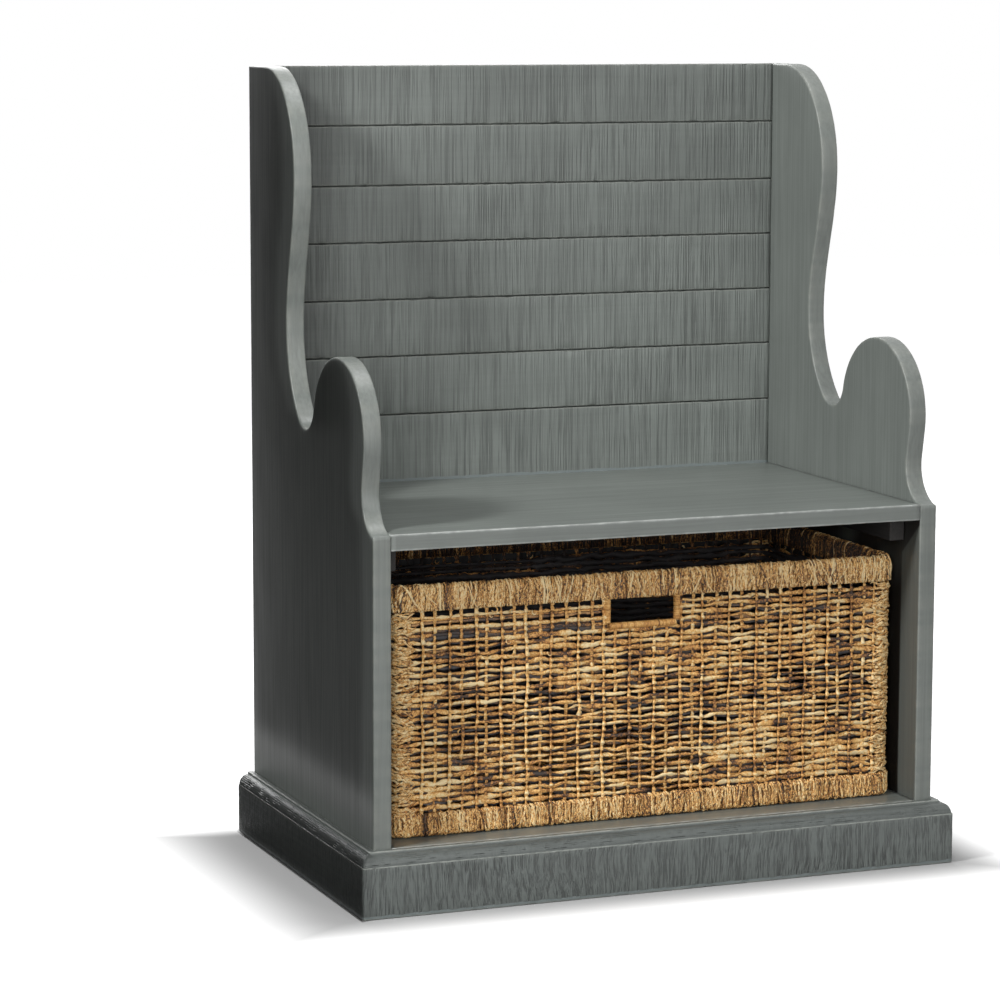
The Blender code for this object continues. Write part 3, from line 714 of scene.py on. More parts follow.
def dress(piece: bpy.types.Object, finish: PaintedTimber | BarePine | PlantFibre, seed: int, body: Body,
          replaced: Sequence[str] = ()) -> None:
    """Gives a piece its finish, puts it on its body and hides the CAD nodes that it stands for.

    Args:
        piece: the piece.
        finish: what builds its material.
        seed: moves the finish's pattern.
        body: the body that carries it.
        replaced: CAD nodes that it stands for.
    """
    piece.data.materials.append(finish.material(piece.name, seed))
    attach(piece, body.value)
    if replaced:
        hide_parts(*replaced)
    LOG.info("%s: %d faces on %s", piece.name, len(piece.data.polygons), body.value)


def carried_board(name: str, section: tuple[Array, Array, Array], stations: Array,
                  unevenness: Waves, edge_wear: Waves) -> bpy.types.Object:
    """A board whose section lies in Y and Z and is carried along X.

    A point is the section's point, moved inwards by the unevenness, and at an arris also by wear.

    Args:
        name: the piece's name.
        section: points, normals and arris shares, from rounded_section.
        stations: places along X.
        unevenness: how the faces wander, in metres.
        edge_wear: how much more the arrises are worn, in metres.

    Returns:
        The object, closed by flat ends.
    """
    outline, normals, arris = section
    x = stations[:, None]
    run = np.concatenate([[0.0], np.cumsum(np.linalg.norm(np.diff(outline, axis=0), axis=1))])[None]
    hollow = np.abs(unevenness.at(x, run)) + arris * np.abs(edge_wear.at(x, outline[:, 1][None] * 3))
    yz = outline[None] - normals[None] * hollow[..., None]
    points = np.concatenate([np.broadcast_to(x[..., None], (*yz.shape[:2], 1)), yz], axis=-1)
    # This share makes arrises paler: partly wear, partly a painted highlight.
    worn = arris * (0.6 + 0.4 * ease(0.5 + edge_wear.at(x * 1.7, run) / (3 * edge_wear.height)))
    return Grid(points[None], traits={"arris": worn[None]}).make(name)


@dataclass
class BackBoards:
    """Half-lapped boards with eased arrises, each a little hollow and a little uneven.

    The paint is darkest on the top board and lighter on each one below it, down to the seat: a painted shade,
    darker towards the top.
    """

    lap: float = 0.008
    half_gap: float = 0.00015
    arris: float = 0.0008
    lap_radii: tuple[float, float] = (0.0003, 0.0006)
    station_gap: float = 0.004
    spacing: float = 0.010
    count: int = 12
    hollow: float = 0.00010
    top_board_shade: float = 0.80
    shade_step_down: float = 0.037
    # Painted shade: darker at the boards' left ends, and near black on the boards below the seat.
    finish: PaintedTimber = PaintedTimber(
        colour=(0.150, 0.166, 0.154), grain=Axis.X, saw=Axis.Z, saw_contrast=0.60, grain_contrast=0.02,
        mottle=0.16, left_end_shade=0.55, roughness=0.52, painted_shade=(1.0, -1.0, SEAT_LOW.z))

    def _section(self, low: Vector, high: Vector, first: bool, last: bool
                 ) -> tuple[Array, Array, Array]:
        """The board's section in Y and Z: its face, then the lap above, the back and the lap below."""
        front, back = low.y, high.y
        middle = (front + back) / 2
        face_low, back_low = low.z, low.z + (0.0 if last else self.lap)
        back_high, face_high = high.z, high.z - (0.0 if first else self.lap)
        corners = [(front, face_low), (front, face_high)]
        radii = [self.arris, self.arris]
        if not first:
            corners += [(middle + self.half_gap, face_high), (middle + self.half_gap, back_high)]
            radii += self.lap_radii
        corners += [(back, back_high), (back, back_low)]
        radii += [self.arris, self.arris]
        if not last:
            corners += [(middle - self.half_gap, back_low), (middle - self.half_gap, face_low)]
            radii += self.lap_radii
        return rounded_section(corners, radii, self.spacing, 2)

    def build(self) -> None:
        """Builds every back board in the place of its CAD node."""
        for number in range(1, self.count + 1):
            node = f"back_board_{number:02d}"
            low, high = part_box(node)
            section = self._section(low, high, number == 1, number == self.count)
            stations = np.linspace(low.x, high.x, round((high.x - low.x) / self.station_gap) + 1)
            piece = carried_board(f"painted_{node}", section, stations,
                                  Waves(100 + number, self.hollow, 0.008, 0.12),
                                  Waves(200 + number, 0.00032, 0.010, 0.12))
            # Painted shade: each board's colour is lighter the lower it is, down to the seat.
            light = self.top_board_shade + self.shade_step_down * min(number, BOARDS_SEEN)
            colour = tuple(light * value for value in self.finish.colour)
            foot = SEAT_HIGH.z + 0.003 if low.z < SEAT_HIGH.z < high.z else 0.0
            finish = replace(self.finish, colour=colour, foot=foot, rear=(low.y + high.y) / 2)
            dress(piece, finish, 300 + number, Body.BENCH, [node])


@dataclass
class Seat:
    """The seat board and the cubby's bottom board: smooth, long-grained, with a rounded front arris."""

    arris: float = 0.0014
    rear_arris: float = 0.0008
    spacing: float = 0.012
    station_gap: float = 0.006
    # The pale front arris is partly rubbed wear, partly a painted highlight.
    finish: PaintedTimber = PaintedTimber(grain=Axis.X, roughness=0.34, grain_contrast=0.12, rub_and_highlight=0.95,
                                          worn=(0.42, 0.44, 0.42))

    def build(self) -> None:
        """Builds both boards in the place of their CAD nodes."""
        for number, node in enumerate(("seat_board", "cubby_bottom_board")):
            low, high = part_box(node)
            corners = [(low.y, low.z), (low.y, high.z), (high.y, high.z), (high.y, low.z)]
            radii = [self.arris, self.arris, self.rear_arris, self.rear_arris]
            section = rounded_section(corners, radii, self.spacing, 5)
            stations = np.linspace(low.x, high.x, round((high.x - low.x) / self.station_gap) + 1)
            piece = carried_board(f"painted_{node}", section, stations,
                                  Waves(410 + number, 0.00008, 0.06, 0.35),
                                  Waves(420 + number, 0.00018, 0.01, 0.08))
            dress(piece, self.finish, 430 + number, Body.BENCH, [node])


@dataclass
class SidePanels:
    """The two scrolled side panels.

    The outline is a chain of circles, an ellipse and an eased double curve. Its edge is a rounded
    profile carried along the outline, and each face is filled with points on an even grid.
    """

    top: float = SIDE_HIGH.z
    back: float = SIDE_HIGH.y
    front: float = SIDE_LOW.y
    wing_curve_from_back: float = 0.0683
    wing_tip: tuple[float, float] = (SIDE_HIGH.y - 0.1800, SIDE_HIGH.z - 0.1336)
    waist: tuple[float, float] = (SIDE_HIGH.y - 0.1473, SEAT_HIGH.z + 0.2171)
    tail_radius: float = 0.155
    notch_radius: float = 0.032
    arm_radius: float = 0.093
    arm_centre: tuple[float, float] = (SIDE_LOW.y + 0.124, SEAT_HIGH.z + 0.104)
    cove_radius: float = 0.048
    cove_centre: tuple[float, float] = (SIDE_LOW.y - 0.0085, SEAT_HIGH.z + 0.045)
    arris: float = 0.0021
    spacing: float = 0.004
    face_gap: float = 0.012
    # Painted shade on the inner faces under the seat: near black where the basket's and the seat's shadows fall.
    finish: PaintedTimber = PaintedTimber(grain=Axis.Z, roughness=0.42, grain_contrast=0.13, rub_and_highlight=0.42,
                                          painted_shade=(SEAT_HIGH.x, -0.174, SEAT_LOW.z))

    @staticmethod
    def _arc(centre: Sequence[float], radius: float, start: float, stop: float) -> Array:
        """Points on a circle: the centre plus the radius times the cosine and sine of the angle."""
        count = max(6, round(abs(stop - start) * radius / 0.0035))
        angle = np.linspace(start, stop, count + 1)
        return np.stack([centre[0] + radius * np.cos(angle), centre[1] + radius * np.sin(angle)], -1)

    def _notch_centre(self) -> Array:
        """The point at a circle's reach from the tail's and the arm's centres, below their line."""
        tail = np.array([self.waist[0] - self.tail_radius, self.waist[1]])
        arm = np.array(self.arm_centre)
        line = tail - arm
        apart = float(np.linalg.norm(line))
        from_tail, from_arm = self.tail_radius - self.notch_radius, self.arm_radius + self.notch_radius
        along = (from_arm ** 2 - from_tail ** 2 + apart ** 2) / (2 * apart)
        across = math.sqrt(from_arm ** 2 - along ** 2)
        way = line / apart
        return arm + along * way + across * np.array([way[1], -way[0]])

    def outline(self) -> Array:
        """The outline in Y and Z, from the top of the back edge forwards and down, then round the foot.

        Returns:
            Points (count, 2) with steps of about the spacing, the first not repeated at the end.
        """
        tip, waist = np.array(self.wing_tip), np.array(self.waist)
        tail = (waist[0] - self.tail_radius, waist[1])
        arm, cove = np.array(self.arm_centre), np.array(self.cove_centre)
        notch = self._notch_centre()
        quarter = np.linspace(0.0, math.pi / 2, 44)
        reach = self.back - self.wing_curve_from_back - tip[0]
        wing = np.stack([tip[0] + reach * (1 - np.sin(quarter)),
                         tip[1] + (self.top - tip[1]) * np.cos(quarter)], -1)
        share = np.linspace(0.0, 1.0, 50)
        swell = np.stack([tip[0] + (waist[0] - tip[0]) * (1 - np.cos(math.pi * share)) / 2,
                          tip[1] + (waist[1] - tip[1]) * share], -1)
        tail_stop = math.atan2(notch[1] - tail[1], notch[0] - tail[0])
        notch_stop = math.atan2(arm[1] - notch[1], arm[0] - notch[0]) % TAU - TAU
        arm_start = notch_stop % TAU - math.pi
        apart = float(np.linalg.norm(cove - arm))
        turn = math.acos(min(1.0, (self.arm_radius + self.cove_radius) / apart))
        arm_stop = (math.atan2(cove[1] - arm[1], cove[0] - arm[0]) - turn) % TAU
        cove_stop = -math.acos((self.front - cove[0]) / self.cove_radius)
        curves = [
            wing, swell[1:],
            self._arc(tail, self.tail_radius, 0.0, tail_stop)[1:],
            self._arc(notch, self.notch_radius, tail_stop, notch_stop)[1:],
            self._arc(arm, self.arm_radius, arm_start, arm_stop)[1:],
            self._arc(cove, self.cove_radius, arm_stop - math.pi, cove_stop),
        ]
        shoulder = curves[-1][-1]
        straights = [(shoulder, (self.front, 0.0)), ((self.front, 0.0), (self.back, 0.0)),
                     ((self.back, 0.0), (self.back, self.top)), ((self.back, self.top), curves[0][0])]
        for start, stop in straights:
            start, stop = np.array(start), np.array(stop)
            count = max(2, round(float(np.linalg.norm(stop - start)) / self.spacing))
            curves.append(start + (stop - start) * (np.arange(1, count + 1) / count)[:, None])
        return np.concatenate(curves)[:-1]

    @staticmethod
    def _inward(outline: Array) -> Array:
        """For each outline point, the step that moves both its sides inwards by one unit."""
        after = np.roll(outline, -1, axis=0) - outline
        after /= np.linalg.norm(after, axis=1, keepdims=True)
        normal = np.stack([-after[:, 1], after[:, 0]], -1)
        before = np.roll(normal, 1, axis=0)
        return (normal + before) / (1.0 + np.sum(normal * before, axis=1, keepdims=True))

    def _face_points(self, ring: Array) -> tuple[Array, Array]:
        """Fills a ring with points on a grid and joins them by a Delaunay triangulation.

        Args:
            ring: the closed ring, (count, 2).

        Returns:
            All points with the ring's first, and the triangles.
        """
        y, z = np.meshgrid(np.arange(self.front, self.back, self.face_gap),
                           np.arange(0.0, self.top, self.face_gap), indexing="ij")
        inside = np.stack([y.ravel(), z.ravel()], -1)
        following = np.roll(ring, -1, axis=0)
        rises = (ring[:, 1] > inside[:, 1:]) != (following[:, 1] > inside[:, 1:])
        slope = (following[:, 0] - ring[:, 0]) / (following[:, 1] - ring[:, 1] + 1e-12)
        hits = rises & (inside[:, :1] < ring[:, 0] + slope * (inside[:, 1:] - ring[:, 1]))
        apart = np.min(np.linalg.norm(inside[:, None] - ring[None], axis=-1), axis=1)
        inside = inside[(hits.sum(axis=1) % 2 == 1) & (apart > self.face_gap * 0.6)]
        joined = np.concatenate([ring, inside])
        made = delaunay_2d_cdt([Vector(p) for p in joined.tolist()], [], [list(range(len(ring)))], 1, 1e-7)
        return joined, np.array([face for face in made[2] if len(face) == 3])

    def _panel(self, name: str, x_low: float, x_high: float, seed: int) -> bpy.types.Object:
        """One panel between two planes.

        Args:
            name: the piece's name.
            x_low: the plane of its left face.
            x_high: the plane of its right face.
            seed: seed of its unevenness.

        Returns:
            The object.
        """
        outline = self.outline()
        inward = self._inward(outline)
        half = (x_high - x_low) / 2
        turn = np.linspace(0.0, math.pi / 2, 5)
        depth = self.arris * (1 - np.sin(turn))
        across = half - self.arris + self.arris * np.cos(turn)
        inset = np.concatenate([[0.005, 0.0034], depth, [0.0, 0.0], depth[::-1], [0.0034, 0.005]])
        place = np.concatenate([[half, half], across, [half / 3, -half / 3], -across[::-1], [-half, -half]])
        near = np.concatenate([[0.0, 0.35], np.full(5, 1.0), [0.4, 0.4], np.full(5, 1.0), [0.35, 0.0]])
        sway = Waves(seed, 0.00016, 0.012, 0.09).at(outline[:, 0], outline[:, 1])
        worn = np.abs(sway)[:, None] * near
        yz = outline[:, None] + inward[:, None] * (inset + worn)[..., None]
        x = np.broadcast_to((x_low + x_high) / 2 + place, yz.shape[:2])
        band = np.concatenate([x[..., None], yz], axis=-1)
        count, steps = band.shape[:2]
        i, j = np.meshgrid(np.arange(count), np.arange(steps - 1), indexing="ij")
        ahead = (i + 1) % count
        quads = np.stack([i * steps + j, ahead * steps + j, ahead * steps + j + 1, i * steps + j + 1], -1)
        right_flat, right_faces = self._face_points(yz[:, 0])
        left_flat, left_faces = self._face_points(yz[:, -1])
        points = [band.reshape(-1, 3)]
        faces = []
        total = count * steps
        dish = Waves(seed + 1, 0.00018, 0.08, 0.5)
        for flat, triangles, plane, column, way in ((right_flat, right_faces, x_high, 0, -1.0),
                                                    (left_flat, left_faces, x_low, steps - 1, 1.0)):
            fresh = flat[count:]
            sunk = np.abs(dish.at(fresh[:, 0], fresh[:, 1], np.array(plane)))
            edge = np.min(np.linalg.norm(fresh[:, None] - outline[None], axis=-1), axis=1)
            sunk = sunk * ease((edge - 0.005) / 0.03)
            points.append(np.column_stack([plane + way * sunk, fresh]))
            number = np.concatenate([np.arange(count) * steps + column, total + np.arange(len(fresh))])
            triangles = number[triangles]
            faces.append(triangles if way < 0 else triangles[:, ::-1])
            total += len(fresh)
        joined = np.concatenate(points)
        arris = np.zeros(total)
        arris[:count * steps] = (near * ease(0.55 + sway[:, None] / 0.0004)).ravel()
        quads = quads.reshape(-1, 4)
        if self._faces_left(joined, faces[0]):
            faces = [triangles[:, ::-1] for triangles in faces]
        if self._band_inward(joined, quads):
            quads = quads[:, ::-1]
        return make_mesh(name, joined, [quads, np.concatenate(faces)], {"arris": arris})

    @staticmethod
    def _faces_left(points: Array, triangles: Array) -> bool:
        """Whether the right face's triangles point to the left."""
        a, b, c = (points[triangles[:, i]] for i in range(3))
        return float(np.cross(b - a, c - a)[:, 0].sum()) < 0

    @staticmethod
    def _band_inward(points: Array, quads: Array) -> bool:
        """Whether the edge band's lowest faces, at the foot, point up."""
        a, b, c = (points[quads[:, i]] for i in range(3))
        foot = (a[:, 2] < 0.001) & (b[:, 2] < 0.001) & (c[:, 2] < 0.001)
        return float(np.cross(b - a, c - a)[foot, 2].sum()) > 0

    def build(self) -> None:
        """Builds both panels in the place of their CAD nodes."""
        for number, name in enumerate(("left", "right")):
            node = f"{name}_side_panel"
            low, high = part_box(node)
            piece = self._panel(f"painted_{node}", low.x, high.x, 500 + 10 * number)
            dress(piece, self.finish, 520 + number, Body.BENCH, [node])


@dataclass
class Plinth:
    """The moulded plinth: one section carried round the front and both sides, with eased mitres."""

    thickness: float = 0.0213
    height: float = BOTTOM_HIGH.z
    face_height: float = 0.0635
    face_step: float = 0.0012
    ledge: float = 0.0085
    quirk: float = 0.0032
    corner: float = 0.0034
    gap: float = 0.0003
    station_gap: float = 0.0030
    finish: PaintedTimber = PaintedTimber(
        colour=(0.101, 0.113, 0.107), grain=Axis.X, saw=Axis.Z, saw_contrast=1.15, saw_depth=0.0010,
        saw_lean=0.007, saw_breaks=34.0, saw_top=0.0625, grain_contrast=0.03, roughness=0.46, rub_and_highlight=0.85,
        foot=0.0045, worn=(0.34, 0.36, 0.33))

    def _section(self) -> tuple[Array, Array, Array]:
        """The moulding, as distance out from the case and height, with the inner edge upright."""
        turn = np.linspace(0.0, math.pi / 2, 9)
        brow = self.thickness - self.face_step
        ovolo_top = self.height - self.quirk
        ovolo = [(self.ledge + (brow - self.ledge) * math.cos(a),
                  self.face_height + (ovolo_top - self.face_height) * math.sin(a)) for a in turn]
        corners = [(self.gap, 0.0), (self.thickness, 0.0), (self.thickness, self.face_height), *ovolo,
                   (self.ledge, self.height), (self.gap, self.height)]
        radii = [0.0006, 0.0012, 0.0005, 0.0002] + [0.0001] * 7 + [0.0003, 0.0010, 0.0006]
        return rounded_section(corners, radii, 0.004, 2)

    def _length(self, start: float, stop: float, far_mitre: bool, seed: int) -> tuple[Array, Array]:
        """Points of one board in its own place: distance along, distance out, height.

        At a mitre a station's place moves out with the section, and near it the section is held back by
        a quarter circle, so that the two boards meet in a rounded corner.

        Args:
            start: where the case's corner lies, at the mitred end.
            stop: where the case's other corner or the square end lies.
            far_mitre: whether the second end is mitred too.
            seed: seed of the unevenness.

        Returns:
            Points (along, round, 3) and arris shares (along, round).
        """
        outline, normals, arris = self._section()
        out = outline[:, 0]
        count = round((stop - start) / self.station_gap)
        share = np.linspace(0.0, 1.0, count + 1)[:, None]
        radius = np.minimum(self.corner, np.maximum(out - self.gap, 0.0))
        angle = np.linspace(math.pi / 4, math.pi / 2, 5)[:, None]
        pulled = radius * (1 - np.cos(angle))
        held = radius * (1 - np.sin(angle))
        first = start - out + pulled
        last = stop + out - pulled if far_mitre else np.full((1, len(out)), stop)
        inner = first[-1] + (last[-1] - first[-1]) * share[1:-1]
        along = np.concatenate([first, inner, last[::-1]])
        back = np.zeros_like(along)
        back[:len(held)] = held
        if far_mitre:
            back[-len(held):] = held[::-1]
        lie = np.broadcast_to(outline[None, :, 1], along.shape)
        dents = np.abs(Waves(seed, 0.00012, 0.012, 0.08).at(along, lie * 2.0))
        chips = ease(Waves(seed + 1, 1.0, 0.004, 0.06).at(along, lie * 0.6) - 1.3) * 0.0008
        hollow = dents + arris[None] * (np.abs(Waves(seed + 2, 0.00025, 0.008, 0.05).at(along, lie)) + chips)
        section = outline[None] - normals[None] * hollow[..., None]
        section[..., 0] = np.maximum(section[..., 0] - back, self.gap)
        section[..., 1] = np.clip(section[..., 1], 0.0, self.height)
        return np.concatenate([along[..., None], section], axis=-1), arris[None] * np.ones_like(along)

    def build(self) -> None:
        """Builds the front and the two side boards in the place of their CAD nodes."""
        front = SIDE_LOW.y
        flat, arris = self._length(-CASE_HALF, CASE_HALF, True, 600)
        points = np.stack([flat[..., 0], front - flat[..., 1], flat[..., 2]], -1)
        piece = Grid(points[None], traits={"arris": arris[None]}).make("painted_plinth_front")
        dress(piece, self.finish, 610, Body.BENCH, ["plinth_front"])
        side_finish = replace(self.finish, grain=Axis.Y, saw_contrast=0.45, saw_depth=0.0005)
        for number, (name, side) in enumerate((("left", -1.0), ("right", 1.0))):
            flat, arris = self._length(front, SIDE_HIGH.y, False, 620 + 10 * number)
            points = np.stack([side * (CASE_HALF + flat[..., 1]), flat[..., 0], flat[..., 2]], -1)
            piece = Grid(points[None], traits={"arris": arris[None]}).make(f"painted_plinth_{name}")
            dress(piece, side_finish, 640 + number, Body.BENCH, [f"plinth_{name}"])


@dataclass
class HiddenTimber:
    """The pieces that carry the boards: bare pine out of sight, and painted near black under the seat as shade."""

    upright: tuple[str, ...] = ("left_back_batten", "centre_back_batten", "right_back_batten",
                                "front_left_corner_block", "front_right_corner_block",
                                "rear_left_corner_block", "rear_right_corner_block")
    lengthwise: tuple[str, ...] = ("front_floor_rail", "rear_floor_rail")
    crosswise: tuple[str, ...] = ("left_floor_cleat", "right_floor_cleat")
    # Painted shade: these are coloured near black so that they vanish in the shade under the seat.
    painted_shade: tuple[tuple[str, Axis], ...] = (("rear_seat_ledger", Axis.X), ("left_seat_cleat", Axis.Y),
                                             ("right_seat_cleat", Axis.Y))
    dark_early: Colour = (0.012, 0.010, 0.009)
    dark_late: Colour = (0.007, 0.006, 0.005)

    @staticmethod
    def _dress_node(name: str, finish: BarePine) -> None:
        """Gives a CAD node its finish in place of its plain one."""
        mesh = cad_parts[name].data
        mesh.materials.clear()
        mesh.materials.append(finish.material(name, sum(map(ord, name))))
        LOG.info("%s: dressed in place", name)

    def build(self) -> None:
        """Dresses every hidden node with the grain along its length."""
        for grain, names in ((Axis.Z, self.upright), (Axis.X, self.lengthwise), (Axis.Y, self.crosswise)):
            for name in names:
                self._dress_node(name, BarePine(grain=grain))
        for name, grain in self.painted_shade:
            self._dress_node(name, BarePine(early=self.dark_early, late=self.dark_late, grain=grain))


@dataclass(frozen=True)
class RoundedPlan:
    """A rounded rectangle seen from above, followed by its length from the middle of its rear side.

    The heading turns evenly through each corner, and the place is the running sum of the heading's
    cosine and sine. It goes to -X along the rear, forwards, along the front to +X, and back.
    """

    half_width: float
    front: float
    rear: float
    corner: float

    def _bends(self) -> tuple[Array, Array]:
        """Lengths at which the heading starts or stops turning, and the headings there."""
        across = self.half_width - self.corner
        deep = self.rear - self.front - 2 * self.corner
        bend = self.corner * math.pi / 2
        lengths = np.cumsum([0.0, across, bend, deep, bend, 2 * across, bend, deep, bend, across])
        turns = math.pi + math.pi / 2 * np.array([0, 0, 1, 1, 2, 2, 3, 3, 4, 4])
        return lengths, turns

    @property
    def length(self) -> float:
        """Once round the plan."""
        return float(self._bends()[0][-1])

    def corner_lengths(self) -> list[float]:
        """The length at the middle of each corner: rear left, front left, front right, rear right."""
        lengths = self._bends()[0]
        return [float(lengths[i] + lengths[i + 1]) / 2 for i in (1, 3, 5, 7)]

    def wrap(self, flat: Array) -> Array:
        """Bends flat wall coordinates round the plan.

        Args:
            flat: run along the wall, depth outwards from the plan, and height, (..., 3).

        Returns:
            Places of the same shape.
        """
        lengths, turns = self._bends()
        total = lengths[-1]
        table = np.linspace(0.0, total, 6001)
        heading = np.interp((table[1:] + table[:-1]) / 2, lengths, turns)
        x = np.concatenate([[0.0], np.cumsum(np.cos(heading)) * table[1]])
        y = self.rear + np.concatenate([[0.0], np.cumsum(np.sin(heading)) * table[1]])
        run = np.mod(flat[..., 0], total)
        way = np.interp(run, lengths, turns)
        return np.stack([np.interp(run, table, x) + np.sin(way) * flat[..., 1],
                         np.interp(run, table, y) - np.cos(way) * flat[..., 1], flat[..., 2]], -1)


@dataclass
class Basket:
    """The woven basket, worked out flat as run along the wall, depth outwards and height, then bent round.

    Upright stakes stand at even steps. Wefts run all the way round, behind every second stake and in
    front of the others. Fibre is wrapped close together over the rim, round the foot, up each corner
    and about the hand slot.
    """

    overhang: float = 0.0085
    stake_count: int = 120
    swaps: float = 0.16
    inner_shade: float = 0.64
    row_pitch: float = 0.0077
    rim_clearance: float = 0.0030
    steps_to_stake: int = 6
    behind_steps_to_stake: int = 4
    weft_high: float = 0.0022
    weft_deep: float = 0.001725
    behind_drop: float = 0.0020
    behind_depth: float = 0.0040
    behind_fatter: float = 1.45
    corner_radius: float = 0.026
    slot_centre: float = -0.0084
    slot_width: float = 0.086
    slot_height: float = 0.030
    slot_margin: float = 0.002
    plain: PlantFibre = PlantFibre()
    crisp: PlantFibre = PlantFibre(crinkle=0.26)
    frayed: PlantFibre = PlantFibre(crinkle=0.52)
    # Painted shade: a darker, colder copy of the fibre for the strands behind the stakes.
    shaded: PlantFibre = PlantFibre(crinkle=0.20, stops=(
        (0.00, (0.034, 0.031, 0.032)),
        (0.30, (0.070, 0.062, 0.060)),
        (0.55, (0.120, 0.080, 0.055)),
        (0.75, (0.330, 0.170, 0.070)),
        (1.00, (0.560, 0.330, 0.140))))
    plan: RoundedPlan = field(init=False)
    wall_low: float = field(init=False)
    wall_high: float = field(init=False)

    def __post_init__(self) -> None:
        """Takes the plan through the middle of the wall, and the wall's height, from the CAD nodes."""
        self.plan = RoundedPlan(RIM_HIGH.x - self.overhang, RIM_LOW.y + self.overhang,
                                RIM_HIGH.y - self.overhang, self.corner_radius - self.overhang)
        self.wall_low = BAND_HIGH.z
        self.wall_high = RIM_LOW.z

    @property
    def stake_gap(self) -> float:
        """Run between two stakes."""
        return self.plan.length / self.stake_count

    def slot_run(self) -> tuple[float, float]:
        """The run at which the hand slot starts and stops."""
        middle = self.plan.length / 2 + self.slot_centre
        return middle - self.slot_width / 2, middle + self.slot_width / 2

    def _waves(self, seed: int, height: float, shortest: float, longest: float) -> Waves:
        """Unevenness along the wall that joins itself once round the plan."""
        return Waves(seed, height, shortest, longest, period=self.plan.length)

    def _stakes_run(self) -> Array:
        """The run of each stake, shifted a little by hand."""
        rng = np.random.default_rng(700)
        return (np.arange(self.stake_count) + 0.5 + rng.normal(0, 0.07, self.stake_count)) * self.stake_gap

    def _stake_places(self) -> Array:
        """The stakes' runs, with the last one again before the join and the first one again after it."""
        stakes = self._stakes_run()
        return np.concatenate([[stakes[-1] - self.plan.length], stakes, [stakes[0] + self.plan.length]])

    def _between(self, table: Array, run: Array) -> Array:
        """Eases a value given at each stake to any run, and round the join.

        Args:
            table: values, (rows, stakes).
            run: places along the wall, (steps,).

        Returns:
            Values (rows, steps).
        """
        places = self._stake_places()
        index = np.clip(np.searchsorted(places, run) - 1, 0, len(places) - 2)
        share = ease((run - places[index]) / (places[index + 1] - places[index]))
        wide = np.concatenate([table[:, -1:], table, table[:, :1]], axis=1)
        return wide[:, index] * (1 - share) + wide[:, index + 1] * share

    def _row_heights(self) -> Array:
        """The height of each weft row, the last a little below the rim."""
        room = self.wall_high - self.rim_clearance - self.wall_low
        count = round(room / self.row_pitch)
        return self.wall_low + (np.arange(count) + 0.5) * room / count

    def _swapped(self) -> Array:
        """Crossings at which weft and stake change sides, (rows, stakes)."""
        return np.random.default_rng(705).random((len(self._row_heights()), self.stake_count)) < self.swaps

    def _drift(self, run: Array, height: Array) -> Array:
        """How far the weave's rows wander up or down, in metres: more where a row's own wave says so."""
        slow = self._waves(711, 0.0005, 0.08, 0.40).at(run, height * 2.0)
        return slow + self._waves(716, 0.0004, 0.02, 0.09).at(run, height * 14.0)

    def _looseness(self, run: Array, height: Array) -> Array:
        """0 where the weave is open and thin, 1 where it is packed and fat, changing slowly over the wall."""
        return ease(0.5 + self._waves(701, 0.45, 0.10, 0.45).at(run, height)
                    + 0.35 * np.sin((run / self.plan.length - 0.5) * TAU))

    def _browning(self, run: Array, height: Array) -> Array:
        """How much browner than the rest the fibre is, in patches that stakes and wefts share."""
        return np.maximum(self._waves(718, 0.17, 0.03, 0.13).at(run, height * 1.6), -0.08)

    def _weft(self, rows: Array, numbers: Array, run: Array, closed: bool,
              behind: bool = False) -> Grid:
        """Weft strands along some rows.

        Depth swings behind even stakes and before odd ones. Height wanders with a slow wave that
        neighbouring rows share and with a shift of their own at each stake. The strand swells between
        stakes and is pinched at them.

        Args:
            rows: the rows' heights.
            numbers: the rows' numbers, which seed their own shifts.
            run: places along the wall.
            closed: whether the strands go all the way round.
            behind: whether they are the second strands that lie behind all stakes, painted darker as shade.

        Returns:
            The strands, as a grid.
        """
        rng = np.random.default_rng(710 + int(numbers[0]) + (40 if behind else 0))
        shape = (len(rows), self.stake_count)
        even = (np.arange(self.stake_count) % 2 == 0)[None] ^ self._swapped()[numbers]
        fat = self._looseness(self._stakes_run()[None], rows[:, None])
        depth = np.where(even, -0.0012, 0.0014 - 0.0022 * fat) + rng.normal(0, 0.0005, shape)
        shift = rng.normal(0, 0.0009, shape)
        high = self.weft_high * (0.86 + 0.44 * fat + rng.normal(0, 0.24, shape))
        pinch = np.where(even, 0.42, 0.64)
        wander = self._drift(run[None], rows[:, None])
        phase = np.interp(run % self.plan.length, self._stake_places(), np.arange(-1, self.stake_count + 1))
        swell = np.abs(np.sin(math.pi * phase))[None] ** 0.6
        thick = self._between(high, run) * (self._between(pinch, run) + 0.64 * swell)
        fray = Waves(712, 0.14, 0.004, 0.02).at(run[None], rows[:, None] * 40)
        thick = np.maximum(thick, 0.0008) * (1 + fray)
        height = rows[:, None] + wander + self._between(shift, run)
        out = self._between(depth, run) + Waves(713, 0.0003, 0.006, 0.03).at(run[None], rows[:, None] * 30)
        if behind:
            height = height - self.behind_drop
            out = out * 0.3 - self.behind_depth
            thick = thick * self.behind_fatter
        roll = Waves(714, 0.35, 0.02, 0.08).at(run[None], rows[:, None] * 20)
        sides = 5 if behind else 8
        centre = vectors(run[None], out, height)
        deep = np.minimum(thick, self.weft_deep)
        across = vectors(0.0, -thick * np.sin(roll), thick * np.cos(roll))
        outward = vectors(0.0, deep * np.cos(roll), deep * np.sin(roll))
        points = self.plan.wrap(tubes(centre, across, outward, sides))
        # Painted shade: the strands behind the stakes get a lower tone.
        tone = (0.45 if behind else 0.77) + rng.normal(0, 0.08, (len(rows), 1))
